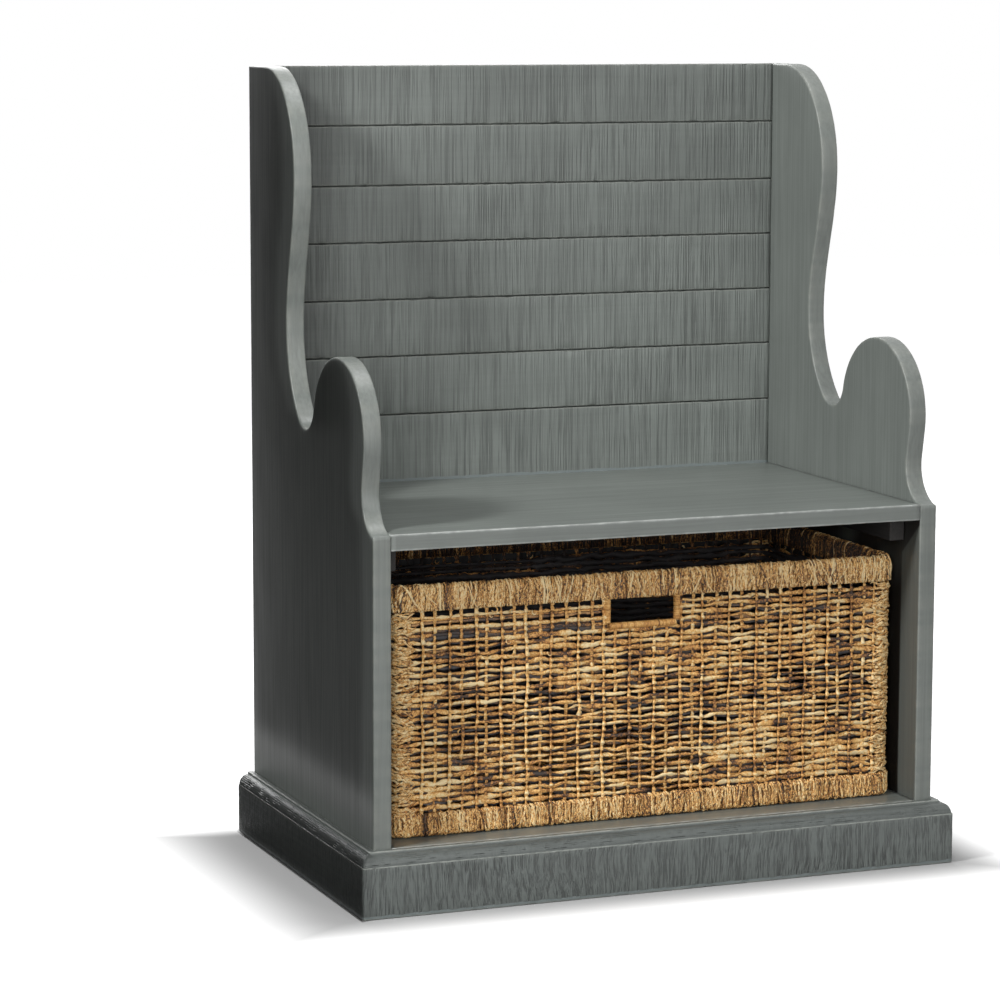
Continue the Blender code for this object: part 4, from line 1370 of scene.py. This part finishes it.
        # Painted shade: the weft is darker where it is pinched at a stake and passes it.
        tone = tone + self._between(rng.normal(0, 0.19, shape), run) - 0.26 * (1 - swell) ** 2
        dark = ease(self._waves(715, 1.0, 0.03, 0.20).at(run[None], rows[:, None] * 6) - 0.9)
        tone = tone - 0.34 * dark - self._browning(run[None], rows[:, None])
        lengths = np.broadcast_to(run[None], height.shape)
        traits = fibre_traits(tone, rng.uniform(0, 1, (len(rows), 1)), inner_shade(sides, self.inner_shade))
        return Grid(points, closed, lengths, 0.011, traits)

    def build_weft(self) -> None:
        """Builds the weft rows: below the slot all the way round, and above its foot broken off beside it.

        Each row has a second strand behind it, with fewer steps, painted darker as shade.
        """
        rows = self._row_heights()
        numbers = np.arange(len(rows))
        start, stop = self.slot_run()
        cut = rows > self.wall_high - self.slot_height - self.weft_high * 2
        whole, broken = numbers[~cut], numbers[cut]
        span = self.plan.length - (stop - start) - 2 * self.slot_margin
        around, beside = {}, {}
        for steps in (self.steps_to_stake, self.behind_steps_to_stake):
            around[steps] = np.arange(self.stake_count * steps) * self.stake_gap / steps
            count = round(span / self.stake_gap * steps)
            beside[steps] = stop + self.slot_margin + np.linspace(0.0, span, count)
        lower, upper = np.array_split(whole, 2)
        for name, chosen, runs, behind, seed in (
                ("lower", lower, around, False, 1), ("upper", upper, around, False, 1),
                ("behind", whole, around, True, 10), ("beside_slot", broken, beside, False, 2),
                ("behind_slot", broken, beside, True, 11)):
            run = runs[self.behind_steps_to_stake if behind else self.steps_to_stake]
            grid = self._weft(rows[chosen], chosen, run, runs is around, behind)
            finish = self.shaded if behind else self.crisp
            dress(grid.make(f"basket_weft_{name}"), finish, seed, Body.BASKET, ["basket_wall"])

    def build_stakes(self) -> None:
        """Builds the stakes.

        Even stakes stand in front and swell into a nub at each row; odd ones stand behind and are plain.
        """
        stakes = self._stakes_run()
        start, stop = self.slot_run()
        in_slot = (stakes > start - self.slot_margin) & (stakes < stop + self.slot_margin)
        even = np.arange(self.stake_count) % 2 == 0
        for name, front, chosen in (("ties", True, even & ~in_slot), ("cores", False, ~even & ~in_slot),
                                    ("short_ties", True, even & in_slot),
                                    ("short_cores", False, ~even & in_slot)):
            low, high = self.wall_low - 0.003, self.wall_high + 0.003
            if name.startswith("short"):
                high -= self.slot_height + 0.004
            grid = self._upright(np.flatnonzero(chosen), low, high, front, 720 + len(name))
            piece = grid.make(f"basket_stake_{name}")
            dress(piece, self.crisp, 3, Body.BASKET, ["basket_wall"])

    def _upright(self, chosen: Array, low: float, high: float, front: bool, seed: int) -> Grid:
        """Stakes as upright strands.

        The depth of a front stake swings between its nubs with the cosine of the rows' phase, and where
        it has changed sides with the weft it swings back instead. Some nubs are bleached and fat.

        Args:
            chosen: their numbers.
            low: height of their feet.
            high: height of their tops.
            front: whether they stand before the weft.
            seed: seed of their unevenness.

        Returns:
            The stakes, as a grid.
        """
        rng = np.random.default_rng(seed)
        steps = round((high - low) / self.row_pitch * 6)
        z = np.linspace(low, high, steps)[None]
        run = self._stakes_run()[chosen][:, None]
        rows = self._row_heights()
        climb = (z - self._drift(run, z) - rows[0]) / (rows[1] - rows[0])
        phase = np.cos(TAU * climb)
        nearest = np.clip(np.round(climb).astype(int), 0, len(rows) - 1)
        swapped = self._swapped()[nearest, chosen[:, None]]
        nub = np.maximum(phase, 0.0)
        pale = rng.random((len(rows), len(chosen))) < 0.09
        bleached = pale[nearest, np.arange(len(chosen))[:, None]] * nub
        jitter = Waves(seed + 1, 1.0, 0.006, 0.03).at(run * 50, z)
        if front:
            depth = 0.0010 + 0.0012 * phase - 0.0042 * nub * swapped + 0.0003 * jitter
            wide = 0.0022 + 0.0006 * phase + 0.0007 * bleached + 0.0004 * jitter
            # Painted shade: a front stake is darker between its nubs, where it lies deeper.
            tone = 0.78 + rng.normal(0, 0.10, (len(chosen), 1)) + 0.12 * jitter - 0.22 * (1 - phase) / 2
            tone = tone + 0.30 * bleached
        else:
            depth = -0.0016 - 0.0007 * phase + 0.0030 * nub * swapped + 0.0002 * jitter
            wide = 0.0022 + 0.0003 * jitter
            # Painted light: a back stake is paler where it comes forward over the weft.
            tone = 0.66 + rng.normal(0, 0.09, (len(chosen), 1)) + 0.08 * jitter + 0.20 * nub * swapped
        tone = tone - 0.8 * self._browning(run, z)
        run = run + Waves(seed + 2, 0.0007, 0.03, 0.2).at(run * 20, z)
        sides = 6
        points = self.plan.wrap(tubes(vectors(run, depth, z), vectors(wide, 0.0, 0.0),
                                      vectors(0.0, wide * 0.55, 0.0), sides))
        traits = fibre_traits(tone, rng.uniform(0, 1, (len(chosen), 1)), inner_shade(sides, self.inner_shade))
        return Grid(points, False, np.broadcast_to(z, depth.shape), 0.010, traits)

    def _wraps(self, starts: Array, path: Array, normals: Array, half_wide: float,
               half_thick: float, lean: float | Array, seed: int, base_tone: float | Array,
               raised: float = 0.0, tone_spread: float = 0.12) -> Grid:
        """Strands wrapped side by side over a path in depth and height.

        Args:
            starts: the run of each strand.
            path: depth and height along one wrap, (steps, 2).
            normals: the path's outward way, (steps, 2).
            half_wide: half a strand's width.
            half_thick: half its thickness.
            lean: how far its run shifts from one end to the other, for all or for each, (strands, 1).
            seed: seed of its unevenness.
            base_tone: tone of the fibre, for all or for each, (strands, 1).
            raised: how far outside the path it lies.
            tone_spread: how much the strands differ in tone.

        Returns:
            The strands, as a grid.
        """
        rng = np.random.default_rng(seed)
        count, steps = len(starts), len(path)
        share = np.linspace(-0.5, 0.5, steps)[None]
        own = rng.uniform(0, 50, (count, 1))
        wobble = Waves(seed + 1, 0.0008, 0.3, 2.0).at(share * 2, own)
        leans = lean * (0.6 + self._waves(seed + 2, 0.5, 0.02, 0.15).at(starts[:, None]))
        run = starts[:, None] + leans * share + wobble
        wide = 1 + rng.normal(0, 0.20, (count, 1)) + Waves(seed + 3, 0.20, 0.2, 1.5).at(share * 2, own)
        thick = half_thick * (1 + Waves(seed + 4, 0.25, 0.2, 1.5).at(share * 2, own))
        lift = -np.abs(Waves(seed + 5, 0.0008, 0.3, 2.0).at(share, own)) + raised
        out, up = normals.T[:, None]
        centre = vectors(run, path[None, :, 0] + out * lift, path[None, :, 1] + up * lift)
        across = vectors(half_wide * wide, 0.0, 0.0)
        points = self.plan.wrap(tubes(centre, across, vectors(0.0, out * thick, up * thick), 6))
        patches = self._waves(seed + 6, 0.10, 0.02, 0.12).at(starts[:, None])
        dark = ease(self._waves(seed + 7, 1.0, 0.015, 0.10).at(starts[:, None]) - 1.0)
        tone = base_tone + patches - 0.34 * dark + rng.normal(0, tone_spread, (count, 1))
        tone = tone + Waves(seed + 8, 0.05, 0.3, 1.0).at(share, own)
        tone = tone - self.inner_shade * ease(0.2 - 1.2 * out)
        lengths = np.concatenate([[0.0], np.cumsum(np.linalg.norm(np.diff(path, axis=0), axis=1))])
        traits = fibre_traits(tone, rng.uniform(0, 1, (count, 1)))
        return Grid(points, False, np.broadcast_to(lengths[None], run.shape), 0.010, traits)

    def build_rim(self) -> None:
        """Builds the wrapped rim: strands up the outside, over a crown and down the inside, and a core.

        They are darker over the slot, and looser strands cross them at all slopes.
        """
        thick, pitch, crown = 0.0011, 0.00228, 0.0115
        width = self.overhang - thick - 0.0008
        side = np.linspace(RIM_LOW.z + thick, RIM_HIGH.z - crown, 8)
        inner_side = side[::-3]
        turn = np.linspace(0.0, math.pi, 8)[1:-1]
        path = np.concatenate([
            np.stack([np.full(len(side), width), side], -1),
            np.stack([width * np.cos(turn), RIM_HIGH.z - crown + (crown - thick) * np.sin(turn)], -1),
            np.stack([np.full(len(inner_side), -width), inner_side], -1)])
        round_crown = np.stack([np.cos(turn), np.sin(turn)], -1)
        normals = np.concatenate([np.tile([1.0, 0.0], (len(side), 1)), round_crown,
                                  np.tile([-1.0, 0.0], (len(inner_side), 1))])
        count = round(self.plan.length / pitch)
        starts = np.arange(count) * self.plan.length / count
        dark_middle = self.plan.length / 2 + self.slot_centre - 0.020
        darker = 0.15 * np.exp(-((starts - dark_middle) / 0.055) ** 2)[:, None]
        grid = self._wraps(starts, path, normals, 0.0015, thick, 0.006, 730, 0.72 - darker)
        dress(grid.make("basket_rim_wraps"), self.frayed, 4, Body.BASKET, ["basket_rim"])
        rng = np.random.default_rng(740)
        count = 520
        starts = np.sort(rng.uniform(0, self.plan.length, count))
        lean = rng.normal(0.0, 0.018, (count, 1))
        grid = self._wraps(starts, path, normals, 0.0011, 0.0008, lean, 741, 0.80, raised=0.0010,
                           tone_spread=0.32)
        dress(grid.make("basket_rim_crossing"), self.frayed, 11, Body.BASKET, ["basket_rim"])
        self._core("basket_rim_core", (RIM_LOW.z + RIM_HIGH.z) / 2 - 0.001,
                   (RIM_HIGH.z - RIM_LOW.z) / 2 - 0.0035, width - 0.002, ["basket_rim_rod"])

    def _core(self, name: str, height: float, half_high: float, half_deep: float, replaced: Sequence[str]) -> None:
        """A plain filling that runs all the way round inside a wrapping."""
        run = np.linspace(0.0, self.plan.length, 361)[None, :-1]
        zero = np.zeros_like(run)
        points = self.plan.wrap(tubes(vectors(run, 0.0, height), vectors(zero, 0.0, half_high),
                                      vectors(zero, half_deep, 0.0), 12))
        grid = Grid(points, True, run, 0.05, fibre_traits(zero + 0.30, 0.5))
        dress(grid.make(name), self.plain, 5, Body.BASKET, replaced)

    def build_band(self) -> None:
        """Builds the band round the foot: strands from under the basket, up the outside, into the wall."""
        thick, pitch, round_foot = 0.0013, 0.0027, 0.004
        width = self.overhang - thick - 0.0006
        base, top = BAND_LOW.z + thick, BAND_HIGH.z - thick
        bend = np.linspace(-math.pi / 2, 0.0, 5)
        below = np.stack([np.cos(bend), np.sin(bend)], -1)
        above = below[::-1] * (1.0, -1.0)
        foot = (width - round_foot, base + round_foot) + round_foot * below
        shoulder = (width - round_foot, top - round_foot) + round_foot * above
        side = np.stack([np.full(4, width), np.linspace(base + round_foot, top - round_foot, 6)[1:-1]], -1)
        path = np.concatenate([[(-width, base)], foot, side, shoulder, [(-0.001, top - 0.0005)]])
        normals = np.concatenate([[(0.0, -1.0)], below, np.tile([1.0, 0.0], (4, 1)), above, [(0.0, 1.0)]])
        count = round(self.plan.length / pitch)
        starts = np.arange(count) * self.plan.length / count
        grid = self._wraps(starts, path, normals, 0.0018, thick, -0.005, 750, 0.65)
        dress(grid.make("basket_band_wraps"), self.frayed, 6, Body.BASKET,
              ["basket_bottom_band"])
        self._core("basket_band_core", (base + top) / 2, (top - base) / 2 - 0.002, width - 0.002, [])

    def build_corners(self) -> None:
        """Builds the corner posts: short strands laid round each corner at all slopes, one over another."""
        pitch, half_length, half_high, half_deep = 0.0030, 0.021, 0.0019, 0.0014
        rng = np.random.default_rng(760)
        heights = np.arange(self.wall_low + 0.002, self.wall_high - 0.001, pitch)
        corners = np.array(self.plan.corner_lengths())
        count = 4 * len(heights)
        reach = half_length * (1 + rng.normal(0, 0.16, (count, 1)))
        share = np.linspace(-1.0, 1.0, 19)[None]
        middles = np.repeat(corners, len(heights))[:, None] + rng.normal(0, 0.0022, (count, 1))
        levels = np.tile(heights, 4)[:, None] + rng.normal(0, 0.0010, (count, 1))
        own = rng.uniform(0, 50, levels.shape)
        slope = Waves(765, 0.10, 0.03, 0.10).at(levels) + rng.normal(0, 0.16, (count, 1))
        taper = np.sqrt(np.clip(1 - share ** 4, 0.03, 1.0))
        run = middles + reach * share
        swell = Waves(761, 0.16, 0.2, 1.5).at(share * 2, own)
        high = half_high * taper * (1 + rng.normal(0, 0.18, levels.shape) + swell)
        depth = 0.0036 * taper - 0.0006 + Waves(762, 0.0008, 0.3, 1.5).at(share * 2, own)
        lie = levels + slope * reach * share + Waves(763, 0.0012, 0.4, 2.0).at(share, own)
        lie = np.clip(lie, self.wall_low, self.wall_high - 0.001)
        points = self.plan.wrap(tubes(vectors(run, depth, lie), vectors(0.0, 0.0, high),
                                      vectors(0.0, half_deep * taper, 0.0), 6))
        tone = 0.84 + rng.normal(0, 0.14, levels.shape) + Waves(764, 0.10, 0.3, 1.5).at(share * 2, own)
        traits = fibre_traits(tone, rng.uniform(0, 1, levels.shape))
        grid = Grid(points, False, run - middles + 0.03, 0.012, traits)
        dress(grid.make("basket_corner_wraps"), self.frayed, 7, Body.BASKET, ["basket_wall"])

    def build_curls(self) -> None:
        """Builds loose ends: small pale hoops of fibre that stand off the weave, many just below the rim."""
        rng = np.random.default_rng(790)
        count = 150
        high = rng.random((count, 1)) < 0.45
        level = np.where(high, self.wall_high - rng.uniform(0.002, 0.014, (count, 1)),
                         rng.uniform(self.wall_low + 0.01, self.wall_high - 0.02, (count, 1)))
        middle = rng.uniform(0.0, self.plan.length, (count, 1))
        start, stop = self.slot_run()
        beside = (middle > start - 0.01) & (middle < stop + 0.01)
        middle = np.where(beside, middle + self.slot_width + 0.03, middle)
        radius = rng.uniform(0.0016, 0.0034, (count, 1))
        turn = np.linspace(0.0, 1.0, 11)[None] * rng.uniform(2.4, 4.6, (count, 1))
        turn = turn + rng.uniform(0, TAU, (count, 1))
        stand = 0.0030 + 0.0022 * np.sin(np.linspace(0.0, math.pi, 11))[None]
        thick = rng.uniform(0.0006, 0.0011, (count, 1)) * np.sin(np.linspace(0.5, math.pi - 0.5, 11))[None]
        points = self.plan.wrap(tubes(
            vectors(middle + radius * np.cos(turn), stand, level + radius * np.sin(turn)),
            vectors(thick * np.cos(turn), 0.0, thick * np.sin(turn)), vectors(0.0, thick, 0.0), 5))
        traits = fibre_traits(rng.uniform(0.70, 0.98, (count, 1)) + 0 * turn, rng.uniform(0, 1, (count, 1)))
        grid = Grid(points, False, turn * radius, 0.006, traits)
        dress(grid.make("basket_curls"), self.plain, 12, Body.BASKET, ["basket_wall"])

    def build_slot(self) -> None:
        """Builds the hand slot's binding: small loops wound round its two sides and its lower edge."""
        start, stop = self.slot_run()
        low = self.wall_high - self.slot_height
        ring, upright_loops, level_loops, steps = 0.0034, 12, 37, 12
        left = np.linspace(self.wall_high, low, upright_loops + 1)[:-1]
        run = np.concatenate([np.full(upright_loops, start), np.linspace(start, stop, level_loops),
                              np.full(upright_loops, stop)])
        height = np.concatenate([left, np.full(level_loops, low), left[::-1]])
        way = np.concatenate([np.tile(side, (loops, 1)) for side, loops in (
            ([-1.0, 0.0], upright_loops), ([0.0, -1.0], level_loops), ([1.0, 0.0], upright_loops))])
        turn = np.linspace(0.0, TAU, steps + 1)[None, :-1]
        rng = np.random.default_rng(770)
        cos, sin = np.cos(turn), np.sin(turn)
        centre = np.stack([run[:, None] + way[:, :1] * (ring + ring * cos), 0.0044 * sin + 0 * run[:, None],
                           height[:, None] + way[:, 1:] * (ring + ring * cos)], -1)
        forward = np.stack([-way[:, 1], np.zeros(len(run)), way[:, 0]], -1)
        wide = 0.00155 * (1 + rng.normal(0, 0.15, (len(run), 1, 1)))
        across = forward[:, None] * wide * np.ones((1, steps, 1))
        outward = np.stack([way[:, :1] * cos, sin + 0 * run[:, None], way[:, 1:] * cos], -1) * 0.0009
        tone = 0.62 + rng.normal(0, 0.10, (len(run), 1)) + 0 * turn
        traits = fibre_traits(tone, rng.uniform(0, 1, (len(run), 1)))
        grid = Grid(self.plan.wrap(tubes(centre, across, outward, 6)), True,
                    np.broadcast_to(turn * ring, centre.shape[:2]), 0.008, traits)
        dress(grid.make("basket_slot_wraps"), self.plain, 8, Body.BASKET,
              ["basket_slot_binding"])

    def build_floor(self) -> None:
        """Builds the woven floor: flat strands both ways, each over one and under the next."""
        half_x = RIM_HIGH.x - 2 * self.overhang + 0.002
        low_y, high_y = RIM_LOW.y + 2 * self.overhang - 0.002, RIM_HIGH.y - 2 * self.overhang + 0.002
        pitch = 0.0125
        nx, ny = round(2 * half_x / pitch), round((high_y - low_y) / pitch)
        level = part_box("basket_floor")[0].z + 0.004
        deep = high_y - low_y
        rng = np.random.default_rng(780)
        for name, own, crossed, length, side, over in (("lengthwise", ny, nx, 2 * half_x, Axis.Y, 1.0),
                                                       ("crosswise", nx, ny, deep, Axis.X, -1.0)):
            lane = ((np.arange(own) + 0.5) / own)[:, None]
            step = np.linspace(0.0, 1.0, crossed * 4 + 1)[None]
            swing = over * 0.0013 * np.cos(math.pi * (step * crossed + np.arange(own)[:, None]))
            x, y = (step, lane) if side is Axis.Y else (lane, step)
            centre = vectors(-half_x + 2 * half_x * x, low_y + deep * y, level + swing)
            wide = 0.0052 * (1 + rng.normal(0, 0.08, (own, 1, 1)))
            across = np.eye(3)[side.value] * wide * np.ones_like(centre)
            outward = np.array([0.0, 0.0, 0.0012]) * np.ones_like(centre)
            tone = 0.58 + rng.normal(0, 0.10, (own, 1)) + 0 * step
            traits = fibre_traits(tone, rng.uniform(0, 1, (own, 1)))
            grid = Grid(tubes(centre, across, outward, 6), False, step * length + 0 * lane, 0.012, traits)
            dress(grid.make(f"basket_floor_{name}"), self.plain, 9, Body.BASKET, ["basket_floor"])

    def build(self) -> None:
        """Builds the whole basket."""
        self.build_weft()
        self.build_stakes()
        self.build_corners()
        self.build_curls()
        self.build_rim()
        self.build_band()
        self.build_slot()
        self.build_floor()


@dataclass(frozen=True)
class Lamp:
    """A rectangular soft lamp that faces a point over the middle of the bench."""

    name: str
    place: tuple[float, float, float]
    aim_height: float
    size: tuple[float, float]
    power: float

    def hang(self) -> None:
        """Adds the lamp to the scene, unseen by the camera."""
        data = bpy.data.lights.new(self.name, "AREA")
        data.shape = "RECTANGLE"
        data.size, data.size_y = self.size
        data.energy = self.power
        lamp = bpy.data.objects.new(self.name, data)
        way = Vector((0.0, 0.0, self.aim_height)) - Vector(self.place)
        turn = way.to_track_quat("-Z", "Y").to_matrix().to_4x4()
        lamp.matrix_world = Matrix.Translation(self.place) @ turn
        lamp.visible_camera = False
        bpy.context.scene.collection.objects.link(lamp)


@dataclass
class Studio:
    """The camera at the photograph's angle, a white surround, a pale floor and soft lamps.

    A small key lamp hangs above at the left, three soft ones in front, and others above, right and behind.
    """

    azimuth: float = 21.8
    elevation: float = 8.15
    roll: float = 0.14
    distance: float = 4.37829
    target: tuple[float, float, float] = (-0.12485, 0.0, 0.4551)
    lens: float = 126.147
    ambient: float = 0.04
    floor_half: float = 9.0
    shadow_fades: tuple[tuple[Axis, float, float], ...] = (
        (Axis.X, -0.415, -0.585), (Axis.X, 0.395, 0.52), (Axis.Y, -0.238, -0.36), (Axis.Y, 0.215, 0.285))
    lamps: tuple[Lamp, ...] = (
        Lamp("key", (-2.6, -0.9, 2.6), 0.5, (0.5, 0.5), 98),
        Lamp("front_left", (-1.9, -3.2, 1.2), 0.4, (0.7, 0.7), 36),
        Lamp("front_high", (0.6, -3.5, 2.3), 0.5, (1.0, 1.0), 22),
        Lamp("front_low", (0.0, -3.8, 0.7), 0.4, (1.0, 0.8), 24),
        Lamp("top", (0.4, 0.15, 3.2), 0.5, (1.0, 1.0), 28),
        Lamp("side", (3.4, -0.6, 1.7), 0.3, (1.6, 1.6), 16),
        Lamp("rear", (0.2, 3.8, 2.2), 0.5, (2.6, 2.2), 100))

    def place_camera(self) -> None:
        """Stands the camera at its distance from the target, turned by azimuth, elevation and roll."""
        az, el, roll = (math.radians(v) for v in (self.azimuth, self.elevation, self.roll))
        back = Vector((-math.sin(az) * math.cos(el), -math.cos(az) * math.cos(el), math.sin(el)))
        right = (-back).cross(Vector((0, 0, 1))).normalized()
        up = right.cross(-back)
        level = right * math.cos(roll) + up * math.sin(roll)
        upright = up * math.cos(roll) - right * math.sin(roll)
        data = bpy.data.cameras.new("photo_camera")
        data.lens = self.lens
        data.sensor_width = 36.0
        data.clip_end = 60.0
        camera = bpy.data.objects.new("photo_camera", data)
        turn = Matrix((level, upright, back)).transposed().to_4x4()
        camera.matrix_world = Matrix.Translation(Vector(self.target) + back * self.distance) @ turn
        bpy.context.scene.collection.objects.link(camera)
        bpy.context.scene.camera = camera

    @staticmethod
    def card(panels: SidePanels) -> None:
        """Hangs a dark gauze beside the left panel, so that the panel's outer face stays in soft shade.

        Its outline is the panel's, shifted towards the key lamp, and widened at the foot to the plinth.
        It goes on a little behind the bench, because the face reflects what stands there. It lets a
        share of the light through, most of it beside the plinth's moulding. The camera doesn't see it.
        A dark screen beside the notch shows in the face's reflection only, where the gauze has its own notch.

        Args:
            panels: the panels whose outline it follows.
        """
        aside, ahead, above, behind = 0.004, 0.009, 0.021, 0.10
        foot_top, foot_front = BOTTOM_HIGH.z + above, CAD_BOX[0][1] - 0.004
        outline = panels.outline() + np.array([-ahead, above])
        chain = outline[:int(np.argmax(outline[:, 1] < foot_top))]
        rear = SIDE_HIGH.y
        rest = np.array([(SIDE_LOW.y - ahead, foot_top), (foot_front, foot_top), (foot_front, 0.002),
                         (rear, 0.002), (rear + behind, BOTTOM_HIGH.z), (rear + behind, SIDE_HIGH.z + above)])
        ring = np.concatenate([chain, rest])
        plane = -CASE_HALF - PLINTH_OUT - aside
        points = np.column_stack([np.full(len(ring), plane), ring])
        piece = make_mesh("studio_card", points, [np.arange(len(ring))[None]])
        s = Sketch("studio_card")
        level = s.axes()[2]
        slit = s.times(s.spread(level, 0.080, 0.095, 0.0, 0.35), s.spread(level, 0.115, 0.140, 1.0, 0.0))
        share = s.plus(s.spread(level, 0.15, 0.90, 0.11, 0.05), slit)
        s.coat(piece, s.add("BsdfTransparent", {"Color": s.grey(share)}))
        piece.visible_camera = False
        y, z = (-0.03, 0.13), (0.55, 0.80)
        corners = np.array([(plane - 0.001, y[i], z[j]) for i, j in ((0, 0), (1, 0), (1, 1), (0, 1))])
        screen = make_mesh("studio_screen", corners, [np.arange(4)[None]])
        s = Sketch("studio_screen")
        s.coat(screen, s.add("BsdfDiffuse", {"Color": (0.02, 0.02, 0.02, 1.0)}))
        for kind in ("camera", "diffuse", "transmission", "volume_scatter", "shadow"):
            setattr(screen, f"visible_{kind}", False)

    @staticmethod
    def _seen(s: Sketch) -> Socket:
        """1 for camera, glossy and transmission rays, and 0 for all others."""
        rays = s.add("LightPath").outputs
        either = s.most(rays["Is Camera Ray"], rays["Is Glossy Ray"])
        return s.most(either, rays["Is Transmission Ray"])

    def surround(self) -> None:
        """Makes the world: white where it is seen, and a weak even light on the object."""
        world = bpy.data.worlds.new("studio")
        world.use_nodes = True
        s = Sketch.on_tree(world.node_tree)
        weak = world.node_tree.nodes["Background"]
        weak.inputs["Color"].default_value = (1.0, 1.0, 1.0, 1.0)
        weak.inputs["Strength"].default_value = self.ambient
        white = s.add("Background", {"Color": (1.0, 1.0, 1.0, 1.0)})
        mix = s.add("MixShader", {0: self._seen(s), 1: weak.outputs[0], 2: white.outputs[0]})
        s.tree.links.new(mix.outputs[0], world.node_tree.nodes["World Output"].inputs["Surface"])
        bpy.context.scene.world = world

    def floor(self) -> None:
        """Lays a pale floor that keeps the bench's soft shadow, and glows to white where that fades out."""
        points = np.array([(-1, -1, 0), (1, -1, 0), (1, 1, 0), (-1, 1, 0)], float) * self.floor_half
        piece = make_mesh("studio_floor", points, [np.arange(4)[None]])
        s = Sketch("studio_floor")
        pale = s.add("BsdfDiffuse", {"Color": (0.46, 0.46, 0.46, 1.0)})
        dull = s.add("BsdfDiffuse", {"Color": (0.08, 0.08, 0.08, 1.0)})
        places = s.axes()
        glow = 0.0
        for axis, end, lost in self.shadow_fades:
            glow = s.most(glow, s.spread(places[axis.value], end, lost))
        light = s.add("Emission", {"Color": (1, 1, 1, 1), "Strength": glow})
        lit = s.add("AddShader", {0: pale.outputs[0], 1: light.outputs[0]})
        s.coat(piece, s.add("MixShader", {0: self._seen(s), 1: dull.outputs[0], 2: lit.outputs[0]}))

    def build(self) -> None:
        """Sets up the whole studio."""
        self.place_camera()
        for lamp in self.lamps:
            lamp.hang()
        self.surround()
        self.floor()
        self.card(SidePanels())
        bpy.context.scene.view_settings.view_transform = "Standard"


def main() -> None:
    """Builds the studio, the painted timber and the basket."""
    logging.basicConfig(level=logging.INFO, format="%(name)s: %(message)s")
    Studio().build()
    BackBoards().build()
    Seat().build()
    SidePanels().build()
    Plinth().build()
    HiddenTimber().build()
    Basket().build()


if __name__ == "__main__":
    main()
